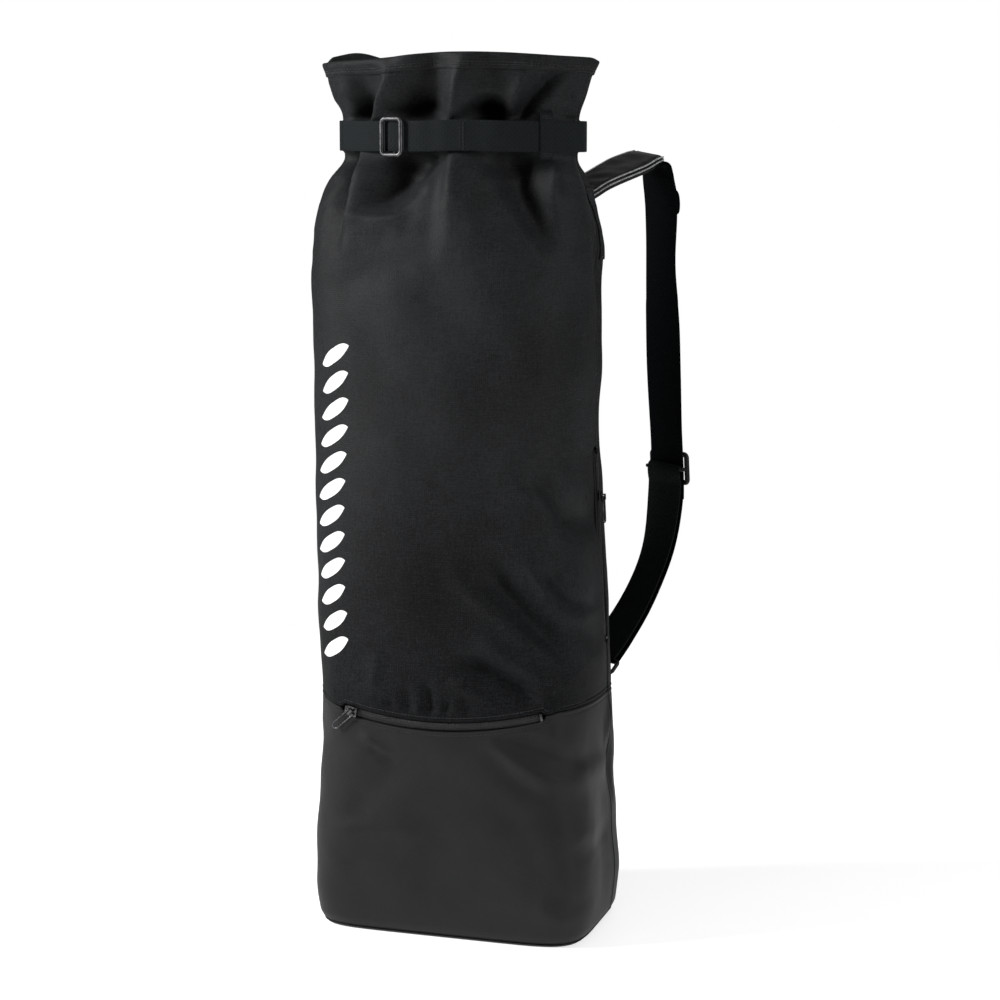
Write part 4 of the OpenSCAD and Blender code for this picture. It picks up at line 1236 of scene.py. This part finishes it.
# ---------------------------------------------------------------- shoulder strap
# The strap lies in an upright plane, STRAP_TURN round from the side, through an axis at its middle.
# Its paths are (way out from the axis, height).
STRAP_TURN = math.radians(58)
AXIS_X, AXIS_Y = 84.0, 90.0
STRAP_W, STRAP_T, PAD_W, TAB_W, TAB_T = 38.0, 1.6, 44.0, 34.0, 1.2
RING_R = 1.8
LOOP_R = RING_R + GAP
ROOT_PATH = [(-41.2, 574), (-44.2, 588), (-46.0, 599), (-43.6, 608.5), (-36, 614.5), (-24, 618)]
PAD_PATH = [
    (-12, 622.5), (0, 628), (14, 633.4), (25, 637.4), (36, 641.3), (47, 645.1), (58, 648.7), (69, 652),
]
WEB_PATH = [
    (56, 644.2), (66, 647.2), (73, 647.4), (77.6, 644.2), (79.8, 638), (81.2, 630), (83, 620), (84.2, 608),
    (84.5, 590), (85, 560), (85.6, 530), (86.5, 500),
]
LOW_PATH = [
    (96, 362), (95.8, 350), (94.5, 336), (91.5, 320), (86.5, 303), (79.5, 286.5), (70.5, 270.5), (60, 255),
    (49.5, 241.5), (39.5, 230), (31, 221), (24, 214.5), (19, 210),
]
COVER_PATH = [
    (58, 647.2), (66, 649.4), (74, 649.4), (79.6, 645.6), (82, 638.6), (83.4, 630), (85.2, 620), (86.2, 611),
    (86.4, 604),
]
BUMP_PATH = [(85.6, 622), (87.6, 619), (88.4, 612), (88.0, 605.5), (86.6, 603)]
# the end of the return layer, round the tri-glide's middle bar on the bag's side
GLIDE_END = [(93.9, 379.8), (92.3, 379.7), (90.8, 378.2), (90.3, 376), (90.5, 371.5), (91.7, 366)]
# how far the return layer lies from the long one, at its top and at the ring
RETURN_OFF = (3.4, 5.8)
BAR_OUT = np.array([16.98, 212.09])
BAR_IN = np.array([8.07, 203.47])


def strap_points(path):
    """From distance out and height in the strap's plane to points."""
    path = np.asarray(path, float)
    r, z = path[..., 0], path[..., 1]
    return np.stack([AXIS_X + r * math.cos(STRAP_TURN), AXIS_Y + r * math.sin(STRAP_TURN), z], -1)


def strap_frame(path, across=None):
    """Centre line, way across and way out of a band through a path in the strap's plane."""
    centre = strap_points(path)
    tangent = unit(np.gradient(centre, axis=0))
    if across is None:
        across = np.broadcast_to([math.sin(STRAP_TURN), -math.cos(STRAP_TURN), 0], centre.shape)
    across = unit(across - tangent * (across * tangent).sum(-1, keepdims=True))
    return centre, across, np.cross(tangent, across) * -1


def turned(across, normal, roll):
    """Ways across and out after a roll about the band's own line."""
    c, s = np.cos(roll)[:, None], np.sin(roll)[:, None]
    return across * c - normal * s, normal * c + across * s


def make_pad():
    path = resample(ROOT_PATH + PAD_PATH, 1.6)
    along = arc_length(path, 0) / arc_length(path, 0)[-1]
    # the root lies flat on the bag's back; the pad turns with the strap and rolls a little
    start, end = math.radians(-9), STRAP_TURN - math.pi / 2
    a = start + (end - start) * smooth(0.15, 0.5, along)
    centre, across, normal = strap_frame(path, np.stack([np.cos(a), np.sin(a), 0 * a], -1))
    across, normal = turned(across, normal, math.radians(9) * smooth(0.45, 0.95, along))
    half = PAD_W / 2
    thick = 1.0 + 3.0 * smooth(0.22, 0.42, along) * (1 - 0.3 * smooth(0.95, 1.0, along))
    width = half * (1 - 0.05 * bell(along - 0.3, 0.08)) * (1 - 0.2 * smooth(0.8, 1, along))
    pieces = [
        pad_cover(centre, across, normal, along, thick, width),
        pad_piping(centre, across, normal, thick, width),
        pad_stitches(centre, across, normal, thick, width),
    ]
    for piece in pieces:
        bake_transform(piece)


def pad_cover(centre, across, normal, along, thick, width):
    """Padded cover: thin where it is sewn to the bag, crowned and grooved along its edges beyond."""
    half = PAD_W / 2
    u = np.linspace(-1, 1, 29)
    crown = (1 - np.abs(u) ** 6) * 0.25 + 0.75
    groove = 1 - 0.16 * bell(np.abs(u) - 0.86, 0.045)
    rise = thick[:, None] * (crown * groove)
    bumps = 0.35 * waves(centre[:, None] + across[:, None] * (u * half)[None, :, None], 22, 31)
    rise = rise + bumps * smooth(0.3, 0.5, along)[:, None] * (1 - u**4)
    flat = centre[:, None] + across[:, None] * (u * width[:, None])[..., None]
    outer = flat + normal[:, None] * rise[..., None]
    inner = flat - normal[:, None] * (rise * 1.25)[..., None]
    uv = metres(u * half, arc_length(centre, 0)[:, None])
    # the cover takes the coated cloth's darker, painted-shade copy
    pad = shell_piece("strap_pad_cover", outer, inner, uv, PAD_PAINTED_SHADE, None,
                      replaces=("strap_pad", "strap_root"), slot="coated_cloth")
    return pad


def pad_piping(centre, across, normal, thick, width):
    trims = []
    for side in (-1, 1):
        for level in (0.78, -0.1):
            edge = centre + across * (side * (width + 0.15))[:, None] + normal * (level * thick)[:, None]
            trims.append(tube(edge[8:], 0.65))
    points, faces, uv = join(trims)
    return new_piece("strap_pad_piping", points, faces, PIPING, None, uv, slot="coated_cloth")


def pad_stitches(centre, across, normal, thick, width):
    """Rows along both edges of the pad, and two across its sewn end."""
    parts = []
    for side in (-1, 1):
        edge = centre + across * (side * width * 0.84)[:, None] + normal * (thick * 0.62)[:, None]
        parts.append(stitch_line(edge[6:], normal[6:], 3.0, 0.24))
    line = np.linspace(-0.85, 0.85, 30)[:, None]
    for share in (0.03, 0.1):
        k = int(share * len(centre))
        path = centre[k] + across[k] * line * width[k] + normal[k] * (thick[k] + 0.1)
        parts.append(stitch_line(path, np.broadcast_to(normal[k], path.shape), 2.8, 0.25))
    return thread_piece("strap_pad_stitches", parts, None, "coated_cloth")


# bands of the strap take the painted-shade copy of the webbing colour unless told otherwise
def strap_band(name, path, size, body, material=STRAP_WEB_PAINTED_SHADE, loose=1.0, **more):
    """A band of the strap; loose is how much it sways and rolls."""
    centre, across, normal = strap_frame(resample(path, 1.8))
    sway = 1.1 * loose * waves(centre, 90, 41)
    roll = math.radians(7) * loose * waves(centre, 110, 42)
    centre = centre + normal * sway[:, None]
    across, normal = turned(across, normal, -roll)
    return band_piece(name, centre, across, normal, size, material, body, slot="webbing", **more)


def round_bar(bar, radius, angles):
    """Path round one of the lower ring's bars, at angles in degrees."""
    return [tuple(bar + radius * np.array([math.cos(a), math.sin(a)])) for a in np.radians(angles)]


def make_strap():
    around = round_bar(BAR_OUT, LOOP_R + STRAP_T / 2, np.linspace(-60, -212, 14))
    strap_band("strap_webbing_long", WEB_PATH + LOW_PATH + around, (STRAP_W, STRAP_T), "strap",
               replaces=("strap_webbing", "strap_loop"))
    # second layer folded over the top, ending in a thick sewn bump
    strap_band("strap_cover", COVER_PATH, (STRAP_W - 1.0, STRAP_T), "strap")
    strap_band("strap_bump", BUMP_PATH, (STRAP_W - 1.5, 1.8), "strap")
    make_strap_return()
    # tab round the ring's inner bar, and the stub that it is sewn to in the side seam
    radius = LOOP_R + TAB_T / 2
    low = BAR_IN[1] - radius
    tab = [(-6, low), (-2, low)] + round_bar(BAR_IN, radius, np.linspace(-90, 125, 16))
    strap_band("ring_tab_webbing", tab, (TAB_W, TAB_T), "strap", loose=0, replaces=("ring_tab",))
    stub = [(-24, low - 2.2), (-10, low - 1.8), (8, low - 1.8)]
    strap_band("tab_stub_webbing", stub, (TAB_W, TAB_T), "bag", loose=0, replaces=("tab_stub",))
    for node in ("strap_triglide", "lower_ring"):
        finish_node(node, PLASTIC)


def make_strap_return():
    """Layer that comes back up from the ring and wraps the tri-glide's middle bar."""
    low_path = np.array(LOW_PATH)
    step = np.concatenate([low_path[1:], low_path[-1:]]) - np.concatenate([low_path[:1], low_path[:-1]])
    side = unit(step)[:, ::-1] * [1, -1]
    path = low_path + np.linspace(*RETURN_OFF, len(low_path))[:, None] * side
    # the return layer takes its painted-shade copy of the webbing colour
    back = strap_band("strap_return_webbing", [*GLIDE_END, *path], (STRAP_W, STRAP_T), None, STRAP_RETURN_PAINTED_SHADE,
                      replaces=("strap_return",))
    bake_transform(back)


# Heights of the patch behind the strap's sewn end, the turns that it covers and its stitch rows.
PATCH_Z, PATCH_TURNS, PATCH_SEWN = (568, 628), (3, 66), (570.5, 625.5)


def make_strap_patch():
    z = np.linspace(*PATCH_Z, 40)[:, None]
    turn = np.linspace(*PATCH_TURNS, 60)[None, :]
    outer, inner = cloth(z, turn, 1.3), cloth(z, turn, 0.2)
    shell_piece("strap_patch_cloth", outer, inner, metres(arc_length(outer, 1), z), CLOTH,
                replaces=("strap_patch",), slot="woven_cloth")
    turn = np.linspace(PATCH_TURNS[0] + 1, PATCH_TURNS[1] - 1, 120)
    thread_piece("strap_patch_stitches", [cloth_stitches(level, turn, 1.25) for level in PATCH_SEWN])


# ---------------------------------------------------------------- printed motif
MOTIF_COUNT, MOTIF_X, MOTIF_Z, MOTIF_STEP = 12, -97.0, 243.0, 22.4


def make_motif():
    """A column of slanted lozenges like the lay of a rope."""
    parts = []
    across, up = np.meshgrid(np.linspace(-1, 1, 15), np.linspace(-1, 1, 7))
    half_h = 6.2 * (1 - np.abs(across) ** 3.0) + 0.4
    for k in range(MOTIF_COUNT):
        x = MOTIF_X - math.sin(k * 0.5) + across * 14.5
        z = MOTIF_Z + k * MOTIF_STEP + across * 8.5 + up * half_h
        turn = turn_at(z.ravel(), x.ravel()).reshape(z.shape)
        parts.append((cloth(z, turn, 0.14).reshape(-1, 3), grid_faces(*z.shape), metres(x, z)))
    points, faces, uv = join(parts)
    new_piece("front_motif", points, faces, INK, "bag", uv, slot="woven_cloth")


def main():
    add_camera()
    add_lights()
    add_world()
    add_floor()
    make_panels()
    make_hem()
    make_bottom()
    make_seam_stitches()
    make_zips()
    make_linings()
    make_belt()
    make_keepers()
    make_pad()
    make_strap()
    make_strap_patch()
    make_motif()
    finish_node("bottom_board", BOARD, 0.6)


main()
